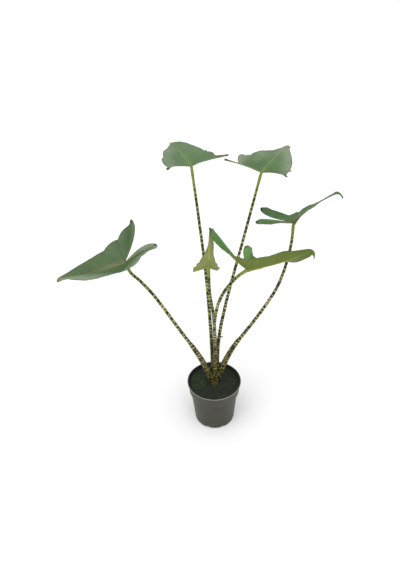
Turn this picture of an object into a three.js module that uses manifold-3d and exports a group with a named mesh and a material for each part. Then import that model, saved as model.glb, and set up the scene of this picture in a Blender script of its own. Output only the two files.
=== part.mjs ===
// A potted zebra alocasia: six arrow-shaped leaves on long banded stalks, in a plain nursery pot.
// Millimetres, Z up. The origin is the middle of the pot's base, on the surface that the pot stands on.
// X runs to the right in the front view, and Y runs away from the front.
import * as THREE from "three";
import { mergeVertices } from "three/addons/utils/BufferGeometryUtils.js";
import Module from "manifold-3d";

const wasm = await Module();
wasm.setup();

// Pot
const RING_SEGMENTS = 48;
const POT_HEIGHT = 155;
const RIM_RADIUS = 85;
const FOOT_RADIUS = 63.5;
const WALL = 1.6;
const FLOOR = 3;
const COLLAR_HEIGHT = 38;
const COLLAR_STEP = 5;
const COLLAR_EDGE = 1;
const INNER_STEP = 3;
const LIP_HEIGHT = 4;
const LIP_OUT = 2;
const LIP_ROUND = 1;
const FOOT_ROUND = 2;
const DRAIN_COUNT = 8;
const DRAIN_WIDTH = 12;
const DRAIN_HEIGHT = 6;
const DRAIN_REACH = 9;

// Soil
const SOIL_TOP = 140;
const SOIL_RINGS = [0.93, 0.8, 0.64, 0.48, 0.32, 0.16];
const SOIL_RELIEF = 1.6;
const GAP = 0.3;

// Corm, sheaths and stalks
const CORM_FOOT = 122;
const CORM_PROFILE = [[0, 0], [9, 0], [13, 6], [14.5, 18], [12.5, 28], [6, 35], [0, 38]];
const CORM_SEGMENTS = 20;
const SHEATH_WRAP = 0.5;
const STALK_HEIGHTS = [130, 240, 330, 560, 850];
const STALK_RADII = [7.2, 5.8, 5.1, 4.2, 3.3];
const STALK_SIDES = 10;
const RING_STEP = 36;
const SHEATH_TIP = { height: 318, lean: 65, length: 12, radius: 2.8, sides: 8, right: 1, forward: 1 };

// Blades
const BLADE_THICKNESS = 0.9;
const RIB_DEPTH = 2.2;
const RIB_END_DEPTH = 0.5;
const BESIDE_RIB = 2.4;
const BESIDE_SHARE = 0.2;
const ACROSS = [0.35, 0.7, 1];
const ACROSS_INNER = [0, 0.5, 1];
const LEAST_HALF = 1.5;
const RIB_STEPS = 100;
const MIDRIB_ROWS = 16;
const LOBE_ROWS = 10;
const FAN_STEP = 13;
const FRONT_LEAN = 35;
const LOBE_SPLAY = 40;
const FAN_SHARE = 0.3;
const MIDRIB_HOOK_FROM = 0.8;
const LOBE_HOOK_FROM = 0.7;
const WAVE_TURNS = 3;
// Stations run along a side of a blade: 0 is the tip, 1 the foot, and the lobe follows up to its end.
const BLADE_END = 2 + FAN_SHARE;
const WIDEST = 1.15;
const TAIL_ROUND = 0.08;
const TIP_TAIL_FADES = [0.5, 1];
const END_TAIL_GROWS = [1.3, 1.8];
const INNER_TAIL_GROWS = [0.3, 0.8];
const INNER_SKEW = 1.2;
const INNER_FULLNESS = 0.8;
const BLEND_POWER = 4;
const LIFT_STATIONS = [0, 1, BLADE_END];

// One entry a leaf. The stalk runs through its route and ends at the blade's foot, "at". Angles are
// degrees. Swell is what the sheath adds to the stalk's radius at the soil. The tip thins out up to
// the thread's station. Left and right are the blade's sides as seen along the midrib. Each side's
// lobe has a rib with a spread from the midrib, a turn, a length, a rise, a bend and a hook at its
// end. Width is the greatest half width. Front and back say how far the margin is drawn in before and
// behind that place. Inner is the half width inside the lobe. Lifts tilt the side up at its tip, foot
// and lobe end. Tail gives the half widths of a narrow strip at the tip and at the lobe's end, and the
// broad part ends at broadTo. Marks are bumps of the margin: station, height and reach.
const LEAVES = [
  {
    name: "left",
    at: [-228, -30, 624],
    route: [
      [0, -1, 140], [-41, -10, 261], [-103, -17, 389], [-164, -24, 513], [-196, -27, 563], [-217, -29, 590],
    ],
    sheath: 325,
    swell: 3.4,
    heading: 210,
    pitch: -4,
    roll: 0,
    midrib: { length: 180, turn: -5, bend: 15, hook: -25 },
    thread: 0,
    wave: 2,
    left: {
      spread: 160, turn: 5, length: 94, rise: 30, bend: -20, hook: 5,
      width: 62, front: 1.2, back: 0.7, inner: 17, lift: [-8, 9, 12], innerLift: 28,
      tail: [11, 5], broadTo: BLADE_END, marks: [[1.45, 6, 0.2]],
    },
    right: {
      spread: 140, turn: -15, length: 118, rise: 35, bend: 5, hook: 5,
      width: 66, front: 1.2, back: 1.35, inner: 22, lift: [18, 22, 38], innerLift: -5,
      tail: [9, 6], broadTo: BLADE_END, marks: [],
    },
  },
  {
    name: "back_left",
    at: [-47, 80, 837],
    route: [[-3, 5, 140], [-6, 9, 310], [-18, 40, 540], [-35, 63, 722]],
    sheath: 225,
    swell: 0.5,
    heading: 110,
    pitch: 10,
    roll: -5,
    midrib: { length: 178, turn: 0, bend: -15, hook: -10 },
    thread: 0,
    wave: 2,
    left: {
      spread: 115, turn: 0, length: 88, rise: 29, bend: -10, hook: -32,
      width: 77, front: 1.5, back: 1.4, inner: 8, lift: [8, 12, 0], innerLift: 5,
      tail: [8, 6], broadTo: BLADE_END, marks: [],
    },
    right: {
      spread: 106, turn: 10, length: 98, rise: 24, bend: -15, hook: 0,
      width: 63, front: 1.1, back: 1.2, inner: 8, lift: [12, 10, 9], innerLift: -10,
      tail: [8, 7], broadTo: 2, marks: [],
    },
  },
  {
    name: "back_right",
    at: [135, 100, 806],
    route: [[8, 5, 140], [16, 14, 310], [39, 36, 430], [89, 66, 629]],
    sheath: 235,
    swell: 0.5,
    heading: 55,
    pitch: 15,
    roll: 10,
    midrib: { length: 183, turn: 0, bend: -22, hook: -5 },
    thread: 0,
    wave: 2,
    left: {
      spread: 105, turn: 0, length: 102, rise: 18, bend: -15, hook: 0,
      width: 70, front: 1.9, back: 0.65, inner: 5, lift: [4, 6, 8], innerLift: 10,
      tail: [9, 6], broadTo: 1.9, marks: [[0.3, 4, 0.12]],
    },
    right: {
      spread: 108, turn: 5, length: 100, rise: 35, bend: -15, hook: -15,
      width: 77, front: 1.4, back: 1.4, inner: 8, lift: [0, 1, 4], innerLift: 14,
      tail: [8, 6], broadTo: BLADE_END, marks: [],
    },
  },
  {
    name: "young",
    at: [-11, -24, 596],
    route: [[2, -2, 140], [4, -4, 320], [1, -12, 420], [-9, -20, 508]],
    sheath: 240,
    swell: 0.5,
    heading: -85,
    pitch: 63,
    roll: 3,
    midrib: { length: 130, turn: 4, bend: 30, hook: -17 },
    thread: 0,
    wave: 1,
    left: {
      spread: 145, turn: -8, length: 45, rise: 8, bend: 0, hook: 5,
      width: 25, front: 2.5, back: 0.6, inner: 5, lift: [22, 7, 12], innerLift: 8,
      tail: [14, 5], broadTo: BLADE_END, marks: [],
    },
    right: {
      spread: 140, turn: -7, length: 55, rise: 18, bend: -6, hook: 0,
      width: 33, front: 2.6, back: 0.9, inner: 6, lift: [4, 11, 16], innerLift: 6,
      tail: [3, 5], broadTo: BLADE_END, marks: [],
    },
  },
  {
    name: "right",
    at: [214, 20, 697],
    route: [[1, 2, 140], [56, 3, 282], [120, 7, 385], [184, 12, 506], [211, 17, 627]],
    sheath: 325,
    swell: 3.4,
    heading: -15,
    pitch: 55,
    roll: -5,
    midrib: { length: 155, turn: 0, bend: -28, hook: -88 },
    thread: 0.2,
    wave: 2,
    left: {
      spread: 142, turn: -20, length: 128, rise: 42, bend: -7, hook: 0,
      width: 38, front: 3, back: 0.4, inner: 11, lift: [5, 6, 10], innerLift: 0,
      tail: [11, 0], broadTo: BLADE_END, marks: [[2, 4, 0.12]],
    },
    right: {
      spread: 170, turn: 0, length: 100, rise: 50, bend: 5, hook: -15,
      width: 46, front: 3, back: 0.9, inner: 17, lift: [-25, 18, -15], innerLift: 20,
      tail: [0, 3], broadTo: BLADE_END, marks: [],
    },
  },
  {
    name: "front",
    at: [84, -100, 634],
    route: [[1, -2, 140], [5, -16, 320], [2, -34, 410], [19, -59, 520], [57, -85, 600]],
    sheath: 230,
    swell: 0.5,
    heading: -10,
    pitch: 13,
    roll: -10,
    midrib: { length: 188, turn: 26, bend: 12, hook: -135 },
    thread: 0.2,
    wave: 2,
    left: {
      spread: 105, turn: -30, length: 63, rise: 53, bend: -10, hook: 0,
      width: 42, front: 0.9, back: 0.7, inner: 13, lift: [-85, 15, 10], innerLift: 5,
      tail: [18, 4], broadTo: BLADE_END, marks: [[0.42, 5, 0.1]],
    },
    right: {
      spread: 175, turn: 12, length: 142, rise: 48, bend: 23, hook: -5,
      width: 44, front: 1.1, back: 1, inner: 26, lift: [76, 50, -30], innerLift: 16,
      tail: [4, 0], broadTo: BLADE_END, marks: [[0.55, 6, 0.12]],
    },
  },
];

const potMaterial = new THREE.MeshStandardMaterial({ color: 0x37332f, roughness: 0.55, metalness: 0 });
const soilMaterial = new THREE.MeshStandardMaterial({ color: 0x1c1712, roughness: 1, metalness: 0 });
const cormMaterial = new THREE.MeshStandardMaterial({ color: 0x4a4526, roughness: 0.8, metalness: 0 });
const stalkMaterial = new THREE.MeshStandardMaterial({ color: 0x8d9a4e, roughness: 0.5, metalness: 0 });
const bladeMaterial = new THREE.MeshStandardMaterial({ color: 0x5c8457, roughness: 0.45, metalness: 0 });

// Turns a closed geometry into a solid.
// Corners that coincide are merged, and triangles without area are dropped.
function solidFrom(geometry) {
  const bare = new THREE.BufferGeometry();
  const source = geometry.index ? geometry.toNonIndexed() : geometry;
  bare.setAttribute("position", source.getAttribute("position"));
  const merged = mergeVertices(bare, 1e-4);
  const corners = merged.index.array;
  const kept = [];
  for (let i = 0; i < corners.length; i += 3) {
    const [a, b, c] = [corners[i], corners[i + 1], corners[i + 2]];
    if (a !== b && b !== c && c !== a) {
      kept.push(a, b, c);
    }
  }
  const vertProperties = merged.getAttribute("position").array;
  return new wasm.Manifold(new wasm.Mesh({ numProp: 3, vertProperties, triVerts: new Uint32Array(kept) }));
}

// Turns a list of points and a list of corner numbers into a solid.
function solidFromLists(points, corners) {
  const geometry = new THREE.BufferGeometry().setFromPoints(points);
  geometry.setIndex(corners);
  return solidFrom(geometry);
}

// Turns a solid into a named mesh.
function meshFrom(solid, name, material) {
  const made = solid.getMesh();
  const geometry = new THREE.BufferGeometry();
  geometry.setAttribute("position", new THREE.BufferAttribute(new Float32Array(made.vertProperties), 3));
  geometry.setIndex(new THREE.BufferAttribute(new Uint32Array(made.triVerts), 1));
  geometry.computeVertexNormals();
  const mesh = new THREE.Mesh(geometry, material);
  mesh.name = name;
  return mesh;
}

// Turns a profile of [radius, height] corners about the Z axis.
function turned(profile, segments) {
  const points = profile.map(([radius, height]) => new THREE.Vector2(radius, height));
  return new THREE.LatheGeometry(points, segments).rotateX(Math.PI / 2);
}

// The space that a solid takes up with the gap around it.
function withGap(solid) {
  const moves = [[GAP, 0, 0], [-GAP, 0, 0], [0, GAP, 0], [0, -GAP, 0], [0, 0, GAP], [0, 0, -GAP]];
  return moves.reduce((sum, move) => sum.add(solid.translate(move)), solid);
}

// The largest of the bodies that a cut leaves.
function largest(solid) {
  return solid.decompose().reduce((best, body) => (body.volume() > best.volume() ? body : best));
}

// Pot
const collarFoot = POT_HEIGHT - COLLAR_HEIGHT;
const collarRadius = RIM_RADIUS - LIP_OUT;
const draft = (collarRadius - COLLAR_STEP - FOOT_RADIUS) / POT_HEIGHT;

function wallRadius(height) {
  return FOOT_RADIUS + draft * height;
}

function innerRadius(height) {
  const step = height > collarFoot + WALL ? COLLAR_STEP : 0;
  return wallRadius(height) + step - WALL;
}

const potProfile = [
  [0, 0],
  [FOOT_RADIUS - FOOT_ROUND, 0],
  [wallRadius(FOOT_ROUND), FOOT_ROUND],
  [wallRadius(collarFoot), collarFoot],
  [wallRadius(collarFoot) + COLLAR_STEP, collarFoot + COLLAR_EDGE],
  [wallRadius(POT_HEIGHT - LIP_HEIGHT) + COLLAR_STEP, POT_HEIGHT - LIP_HEIGHT],
  [RIM_RADIUS, POT_HEIGHT - LIP_HEIGHT + LIP_ROUND],
  [RIM_RADIUS, POT_HEIGHT - LIP_ROUND],
  [RIM_RADIUS - LIP_ROUND, POT_HEIGHT],
  [innerRadius(POT_HEIGHT), POT_HEIGHT],
  [innerRadius(collarFoot + INNER_STEP), collarFoot + INNER_STEP],
  [innerRadius(collarFoot), collarFoot],
  [innerRadius(FLOOR), FLOOR],
  [0, FLOOR],
];
let pot = solidFrom(turned(potProfile, RING_SEGMENTS));
for (let i = 0; i < DRAIN_COUNT; i += 1) {
  const angle = ((i + 0.5) / DRAIN_COUNT) * 2 * Math.PI;
  const middle = FOOT_RADIUS + 2 - DRAIN_REACH / 2;
  const notch = new THREE.BoxGeometry(DRAIN_REACH, DRAIN_WIDTH, 2 * DRAIN_HEIGHT);
  notch.translate(middle, 0, 0).rotateZ(angle);
  pot = pot.subtract(solidFrom(notch));
}

// Stalk routes, shared by the sheaths in the crown and by the stalks above them
function between(value, places, amounts) {
  let i = 0;
  while (i < places.length - 2 && value > places[i + 1]) {
    i += 1;
  }
  const share = (value - places[i]) / (places[i + 1] - places[i]);
  return amounts[i] + (amounts[i + 1] - amounts[i]) * THREE.MathUtils.clamp(share, 0, 1);
}

function routeOf(leaf) {
  const points = [...leaf.route, leaf.at].map((p) => new THREE.Vector3(...p));
  return new THREE.CatmullRomCurve3(points, false, "centripetal");
}

// The share of a route's length at which it passes a height.
function shareAt(route, height) {
  let low = 0;
  let high = 1;
  for (let i = 0; i < 30; i += 1) {
    const middle = (low + high) / 2;
    if (route.getPointAt(middle).z < height) {
      low = middle;
    } else {
      high = middle;
    }
  }
  return low;
}

// A tapered round bar along part of a route, closed at both ends.
function bar(route, from, to, radiusAt) {
  const length = (to - from) * route.getLength();
  const steps = Math.max(2, Math.round(length / RING_STEP));
  const points = [];
  const corners = [];
  let side = new THREE.Vector3(1, 0, 0);
  for (let i = 0; i <= steps; i += 1) {
    const share = from + ((to - from) * i) / steps;
    const middle = route.getPointAt(share);
    const along = route.getTangentAt(share);
    side = side.clone().addScaledVector(along, -side.dot(along)).normalize();
    const other = along.clone().cross(side);
    const radius = radiusAt(middle.z);
    for (let k = 0; k < STALK_SIDES; k += 1) {
      const angle = (k / STALK_SIDES) * 2 * Math.PI;
      const point = middle.clone().addScaledVector(side, radius * Math.cos(angle));
      points.push(point.addScaledVector(other, radius * Math.sin(angle)));
    }
  }
  for (let i = 0; i < steps; i += 1) {
    for (let k = 0; k < STALK_SIDES; k += 1) {
      const next = (k + 1) % STALK_SIDES;
      const [a, b] = [i * STALK_SIDES + k, i * STALK_SIDES + next];
      corners.push(a, b, b + STALK_SIDES, a, b + STALK_SIDES, a + STALK_SIDES);
    }
  }
  const last = steps * STALK_SIDES;
  for (let k = 1; k < STALK_SIDES - 1; k += 1) {
    corners.push(0, k + 1, k, last, last + k, last + k + 1);
  }
  return solidFromLists(points, corners);
}

function stalkRadius(height) {
  return between(height, STALK_HEIGHTS, STALK_RADII);
}

// Crown: the corm with the six sheaths around the stalks' feet, all one body
const cormProfile = CORM_PROFILE.map(([radius, height]) => [radius, CORM_FOOT + height]);
let crown = solidFrom(turned(cormProfile, CORM_SEGMENTS));
for (const leaf of LEAVES) {
  const route = routeOf(leaf);
  const sheathRadius = (height) => {
    const fade = THREE.MathUtils.clamp((leaf.sheath - height) / (leaf.sheath - leaf.route[0][2]), 0, 1);
    return stalkRadius(height) + SHEATH_WRAP + leaf.swell * Math.sqrt(fade);
  };
  crown = crown.add(bar(route, 0, shareAt(route, leaf.sheath), sheathRadius));
}

// Soil: a plug with a crumbled top and a plain hole for the corm
function relief(x, y) {
  const broad = Math.sin(0.11 * x + 0.5) * Math.cos(0.09 * y - 0.4);
  const fine = Math.sin(0.31 * x - 0.17 * y + 1) * Math.sin(0.13 * x + 0.29 * y);
  return SOIL_RELIEF * (broad + 0.6 * fine);
}

const soilFoot = FLOOR + GAP;
const soilProfile = [
  [0, soilFoot],
  [innerRadius(soilFoot) - GAP, soilFoot],
  [innerRadius(collarFoot) - GAP, collarFoot],
  [innerRadius(collarFoot + INNER_STEP) - GAP, collarFoot + INNER_STEP],
  [innerRadius(SOIL_TOP) - GAP, SOIL_TOP],
  ...SOIL_RINGS.map((share) => [share * innerRadius(SOIL_TOP), SOIL_TOP]),
  [0, SOIL_TOP],
];
const soilGeometry = turned(soilProfile, RING_SEGMENTS);
const soilPlaces = soilGeometry.getAttribute("position");
for (let i = 0; i < soilPlaces.count; i += 1) {
  if (soilPlaces.getZ(i) > SOIL_TOP - 0.5) {
    soilPlaces.setZ(i, SOIL_TOP + relief(soilPlaces.getX(i), soilPlaces.getY(i)));
  }
}
const soil = largest(solidFrom(soilGeometry).subtract(withGap(crown)));

// A direction from its heading around Z and its rise above the level, in degrees.
function direction(heading, rise) {
  const [turn, up] = [THREE.MathUtils.degToRad(heading), THREE.MathUtils.degToRad(rise)];
  return new THREE.Vector3(Math.cos(turn) * Math.cos(up), Math.sin(turn) * Math.cos(up), Math.sin(up));
}

// The direction square to it that points up from it.
function upFrom(heading, rise) {
  return direction(heading, rise + 90);
}

// A smooth curve through amounts given at places.
function through(value, places, amounts) {
  const slopes = amounts.map((amount, i) => {
    if (i === 0) {
      return (amounts[1] - amount) / (places[1] - places[0]);
    }
    if (i === amounts.length - 1) {
      return (amount - amounts[i - 1]) / (places[i] - places[i - 1]);
    }
    const [before, after] = [places[i] - places[i - 1], places[i + 1] - places[i]];
    const rise = before ** 2 * (amounts[i + 1] - amount) + after ** 2 * (amount - amounts[i - 1]);
    return rise / (before * after * (before + after));
  });
  let i = 0;
  while (i < places.length - 2 && value >= places[i + 1]) {
    i += 1;
  }
  const step = places[i + 1] - places[i];
  const f = (value - places[i]) / step;
  const start = (2 * f ** 3 - 3 * f ** 2 + 1) * amounts[i] + (f ** 3 - 2 * f ** 2 + f) * step * slopes[i];
  const end = (3 * f ** 2 - 2 * f ** 3) * amounts[i + 1] + (f ** 3 - f ** 2) * step * slopes[i + 1];
  return start + end;
}

// A rib in the leaf's own axes: its point, heading and rise at each share of its length.
function rib(shares, length, heading, turn, rise, bend, hook, hookFrom) {
  const angles = (share) => {
    const hooked = THREE.MathUtils.smoothstep(share, hookFrom, 1);
    return [heading + turn * share, rise + bend * share + hook * hooked];
  };
  const points = [new THREE.Vector3()];
  for (let i = 0; i < RIB_STEPS; i += 1) {
    const part = direction(...angles((i + 0.5) / RIB_STEPS)).multiplyScalar(length / RIB_STEPS);
    points.push(points[i].clone().add(part));
  }
  return shares.map((share) => {
    const i = Math.min(Math.floor(share * RIB_STEPS), RIB_STEPS - 1);
    const point = points[i].clone().lerp(points[i + 1], share * RIB_STEPS - i);
    const [ribHeading, ribRise] = angles(share);
    return { point, heading: ribHeading, rise: ribRise, share };
  });
}

// The underside rib's depth at a share of a rib's length.
function ribDepth(share) {
  return share === 1 ? 0 : RIB_DEPTH + (RIB_END_DEPTH - RIB_DEPTH) * share;
}

// A quarter of a circle: 0 at no distance, and 1 from the radius on.
function quarterRound(distance, radius) {
  const share = THREE.MathUtils.clamp(distance / radius, 0, 1);
  return Math.sqrt(1 - (1 - share) ** 2);
}

// The broad part of a blade running over into its narrow tail.
function blended(broad, tail) {
  return (broad ** BLEND_POWER + tail ** BLEND_POWER) ** (1 / BLEND_POWER);
}

// The margin's distance from the rib. A sine to a power leads up to the widest place, and a cosine to a
// power leads down from it to the end of the broad part.
function halfWidth(side, station, thread) {
  const { clamp, smoothstep } = THREE.MathUtils;
  const front = Math.sin((Math.PI / 2) * clamp(station / WIDEST, 0, 1)) ** side.front;
  const beyond = clamp((station - WIDEST) / (side.broadTo - WIDEST), 0, 1);
  const back = Math.cos((Math.PI / 2) * beyond) ** side.back;
  const [atTip, atEnd] = side.tail;
  const tipTail = atTip * quarterRound(station, TAIL_ROUND);
  const endTail = atEnd * quarterRound(BLADE_END - station, TAIL_ROUND);
  const tipShare = 1 - smoothstep(station, ...TIP_TAIL_FADES);
  const endShare = smoothstep(station, ...END_TAIL_GROWS);
  let found = blended(side.width * front * back, tipTail * tipShare + endTail * endShare);
  for (const [place, height, reach] of side.marks) {
    found += height * Math.exp(-(((station - place) / reach) ** 2));
  }
  return thread > 0 ? found * smoothstep(station, 0, thread) : found;
}

// The inner margin's distance from the lobe's rib: an arch that runs over into the lobe's tail.
function innerWidth(side, share) {
  const arch = side.inner * Math.max(Math.sin(Math.PI * share ** INNER_SKEW), 0) ** INNER_FULLNESS;
  const grown = THREE.MathUtils.smoothstep(share, ...INNER_TAIL_GROWS);
  return blended(arch, side.tail[1] * quarterRound(1 - share, TAIL_ROUND) * grown);
}

// The four sheets of a blade in the leaf's own axes, as rows of points from a rib to the blade's edge.
// Forward is along the midrib, the blade's foot is at the origin, and up is the blade's upper face.
function sheets(leaf) {
  const found = [];
  const evenly = (count) => Array.from({ length: count + 1 }, (_, i) => i / count);
  const { length, turn, bend, hook } = leaf.midrib;
  const fromTip = evenly(MIDRIB_ROWS).map((share) => 1 - share);
  const midrib = rib(fromTip, length, 0, turn, 0, bend, hook, MIDRIB_HOOK_FROM);
  for (const [side, sign] of [[leaf.left, 1], [leaf.right, -1]]) {
    const costa = rib(
      evenly(LOBE_ROWS), side.length, sign * side.spread, sign * side.turn,
      side.rise, side.bend, side.hook, LOBE_HOOK_FROM,
    );
    const rows = [];
    const addRow = (station, start, outward, upward, depth) => {
      const end = station === 0 || station === BLADE_END;
      const half = end ? 0 : Math.max(halfWidth(side, station, leaf.thread), LEAST_HALF);
      const phase = (2 * Math.PI * WAVE_TURNS * station) / BLADE_END + sign;
      const wave = leaf.wave * Math.sin(phase);
      const beside = Math.min(BESIDE_RIB / Math.max(half, LEAST_HALF), BESIDE_SHARE);
      rows.push([0, beside, ...ACROSS].map((share) => {
        const point = start.clone().addScaledVector(outward, share * half);
        const waved = end ? 0 : wave * share ** 3;
        return { point: point.addScaledVector(upward, waved), depth: share === 0 ? depth : 0 };
      }));
    };
    for (const at of midrib) {
      const station = 1 - at.share;
      const lift = THREE.MathUtils.degToRad(through(station, LIFT_STATIONS, side.lift));
      const lean = THREE.MathUtils.degToRad(FRONT_LEAN);
      const along = direction(at.heading, at.rise);
      const across = direction(at.heading + 90, 0);
      const normal = along.clone().cross(across);
      const flat = across.clone().multiplyScalar(sign * Math.cos(lean));
      flat.addScaledVector(along, Math.sin(lean));
      const outward = flat.clone().multiplyScalar(Math.cos(lift)).addScaledVector(normal, Math.sin(lift));
      const upward = normal.multiplyScalar(Math.cos(lift)).addScaledVector(flat, -Math.sin(lift));
      addRow(station, at.point, outward, upward, ribDepth(at.share));
    }
    const frontAngle = 90 - FRONT_LEAN;
    const fanAngle = side.spread - LOBE_SPLAY - frontAngle;
    const baseShare = fanAngle / (side.spread - frontAngle);
    const fanRows = Math.max(2, Math.round(fanAngle / FAN_STEP));
    for (let i = 1; i < fanRows; i += 1) {
      const share = i / fanRows;
      const station = 1 + FAN_SHARE * share;
      const heading = sign * (frontAngle + fanAngle * share);
      const rise = side.rise * baseShare * share + through(station, LIFT_STATIONS, side.lift);
      addRow(station, new THREE.Vector3(), direction(heading, rise), upFrom(heading, rise), RIB_DEPTH);
    }
    for (const at of costa) {
      const station = 1 + FAN_SHARE + at.share;
      const heading = at.heading - sign * LOBE_SPLAY;
      const rise = at.rise * baseShare + through(station, LIFT_STATIONS, side.lift);
      addRow(station, at.point, direction(heading, rise), upFrom(heading, rise), ribDepth(at.share));
    }
    const innerRows = costa.map((at) => {
      const ended = at.share === 0 || at.share === 1;
      const half = ended ? 0 : Math.max(innerWidth(side, at.share), LEAST_HALF);
      const inward = direction(at.heading + sign * LOBE_SPLAY, at.rise + side.innerLift);
      return ACROSS_INNER.map((share) => ({
        point: at.point.clone().addScaledVector(inward, share * half),
        depth: share === 0 ? ribDepth(at.share) : 0,
      }));
    });
    const reversed = (grid) => grid.map((row) => [...row].reverse());
    found.push(sign > 0 ? rows : reversed(rows));
    found.push(sign > 0 ? reversed(innerRows) : innerRows);
  }
  return found;
}

// The place and turn of a leaf's own axes.
function placeOf(leaf) {
  const forward = direction(leaf.heading, leaf.pitch);
  const left = direction(leaf.heading + 90, 0);
  const up = forward.clone().cross(left);
  const place = new THREE.Matrix4().makeBasis(forward, left, up);
  place.multiply(new THREE.Matrix4().makeRotationX(THREE.MathUtils.degToRad(leaf.roll)));
  return place.setPosition(...leaf.at);
}

// A blade: its sheets joined along the ribs, given thickness, and closed around the edge.
function bladeSolid(leaf) {
  const place = placeOf(leaf);
  const numbers = new Map();
  const middles = [];
  const depths = [];
  const faces = [];
  const numberOf = ({ point, depth }) => {
    const key = point.toArray().map((value) => value.toFixed(4)).join();
    if (!numbers.has(key)) {
      numbers.set(key, middles.length);
      middles.push(point.clone().applyMatrix4(place));
      depths.push(depth);
    }
    return numbers.get(key);
  };
  const addFace = (a, b, c) => {
    if (a !== b && b !== c && c !== a) {
      faces.push([a, b, c]);
    }
  };
  for (const rows of sheets(leaf)) {
    const grid = rows.map((row) => row.map(numberOf));
    for (let i = 0; i < grid.length - 1; i += 1) {
      for (let k = 0; k < grid[i].length - 1; k += 1) {
        addFace(grid[i][k], grid[i + 1][k + 1], grid[i + 1][k]);
        addFace(grid[i][k], grid[i][k + 1], grid[i + 1][k + 1]);
      }
    }
  }
  const normals = middles.map(() => new THREE.Vector3());
  for (const [a, b, c] of faces) {
    const normal = new THREE.Triangle(middles[a], middles[b], middles[c]).getNormal(new THREE.Vector3());
    for (const corner of [a, b, c]) {
      normals[corner].add(normal);
    }
  }
  normals.forEach((normal) => normal.normalize());
  const top = middles.map((point, i) => point.clone().addScaledVector(normals[i], BLADE_THICKNESS / 2));
  const under = middles.map((point, i) => {
    return point.clone().addScaledVector(normals[i], -BLADE_THICKNESS / 2 - depths[i]);
  });
  const count = middles.length;
  const corners = [];
  const edges = new Set(faces.flatMap(([a, b, c]) => [`${a},${b}`, `${b},${c}`, `${c},${a}`]));
  for (const [a, b, c] of faces) {
    corners.push(a, b, c, a + count, c + count, b + count);
    for (const [from, to] of [[a, b], [b, c], [c, a]]) {
      if (!edges.has(`${to},${from}`)) {
        corners.push(from, to + count, to, from, from + count, to + count);
      }
    }
  }
  return solidFromLists([...top, ...under], corners);
}

const plant = new THREE.Group();
plant.add(meshFrom(pot, "pot", potMaterial));
plant.add(meshFrom(soil, "soil", soilMaterial));
plant.add(meshFrom(crown, "crown", cormMaterial));

// The dried tip of a sheath, which stands out from the back right stalk
function driedTip(route) {
  const middle = route.getPointAt(shareAt(route, SHEATH_TIP.height));
  const { radius, length, sides } = SHEATH_TIP;
  const stub = new THREE.CylinderGeometry(radius / 2, radius, length, sides);
  stub.rotateX(Math.PI / 2).translate(0, 0, length / 2);
  stub.rotateY(THREE.MathUtils.degToRad(SHEATH_TIP.lean));
  stub.translate(middle.x + SHEATH_TIP.right, middle.y - SHEATH_TIP.forward, middle.z);
  return solidFrom(stub);
}

let taken = withGap(crown);
for (const leaf of LEAVES) {
  const blade = bladeSolid(leaf);
  const route = routeOf(leaf);
  const from = shareAt(route, leaf.sheath) + GAP / route.getLength();
  let stalk = bar(route, from, 1, stalkRadius);
  if (leaf.name === "back_right") {
    stalk = stalk.add(driedTip(route));
  }
  stalk = largest(stalk.subtract(withGap(blade)).subtract(taken));
  taken = taken.add(withGap(stalk));
  plant.add(meshFrom(stalk, `stalk_${leaf.name}`, stalkMaterial));
  plant.add(meshFrom(blade, `blade_${leaf.name}`, bladeMaterial));
}

export default plant;
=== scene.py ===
import bpy
import numpy as np
from mathutils import Matrix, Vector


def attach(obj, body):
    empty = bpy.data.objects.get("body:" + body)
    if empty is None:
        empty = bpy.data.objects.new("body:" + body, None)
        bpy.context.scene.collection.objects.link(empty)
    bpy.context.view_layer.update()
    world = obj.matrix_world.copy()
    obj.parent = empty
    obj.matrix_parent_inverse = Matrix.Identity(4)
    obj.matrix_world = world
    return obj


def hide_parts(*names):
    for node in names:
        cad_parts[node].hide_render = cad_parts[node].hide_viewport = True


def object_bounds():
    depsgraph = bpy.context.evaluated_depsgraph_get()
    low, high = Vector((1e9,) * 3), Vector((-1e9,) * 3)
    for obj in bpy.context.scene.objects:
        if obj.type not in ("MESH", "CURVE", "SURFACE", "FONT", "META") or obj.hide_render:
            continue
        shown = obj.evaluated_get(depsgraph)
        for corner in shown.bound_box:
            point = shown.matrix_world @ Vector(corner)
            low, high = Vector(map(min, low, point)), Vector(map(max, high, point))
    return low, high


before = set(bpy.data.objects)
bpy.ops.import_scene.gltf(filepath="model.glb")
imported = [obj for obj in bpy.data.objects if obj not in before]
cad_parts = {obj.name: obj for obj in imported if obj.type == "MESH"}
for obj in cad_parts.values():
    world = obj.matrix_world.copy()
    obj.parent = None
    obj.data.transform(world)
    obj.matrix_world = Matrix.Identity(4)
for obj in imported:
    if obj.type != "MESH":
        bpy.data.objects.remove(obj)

# A potted zebra alocasia. Sizes here are millimetres and degrees; every mesh is written in metres.
MM = 0.001
CAD_LOW, CAD_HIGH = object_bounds()

# Pot and soil
POT_HEIGHT, RIM_RADIUS, FOOT_RADIUS = 155, 85, 63.5
WALL, FLOOR, FOOT_ROUND = 1.6, 3, 2
COLLAR_HEIGHT, COLLAR_STEP, COLLAR_EDGE, COLLAR_BEND, INNER_STEP = 38, 5, 1, 2, 3
LIP_HEIGHT, LIP_OUT, LIP_ROUND, LIP_HIGHLIGHT_DEPTH, INSIDE_FROM = 4, 2, 1, 1.7, 0.7
EDGE_ROUND, EDGE_STEPS, POT_SIDES, POT_SHARP = 0.9, 5, 160, 40
collar_foot = POT_HEIGHT - COLLAR_HEIGHT
draft = (RIM_RADIUS - LIP_OUT - COLLAR_STEP - FOOT_RADIUS) / POT_HEIGHT
DRAIN_COUNT, DRAIN_WIDTH, DRAIN_HEIGHT, DRAIN_REACH = 8, 12, 6, 9
CUTTER_OUT, CUTTER_BELOW = 2, 5
SOIL_TOP, SOIL_RELIEF, CRUMB_RELIEF, GAP = 140, 1.6, 0.5, 0.3
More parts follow.
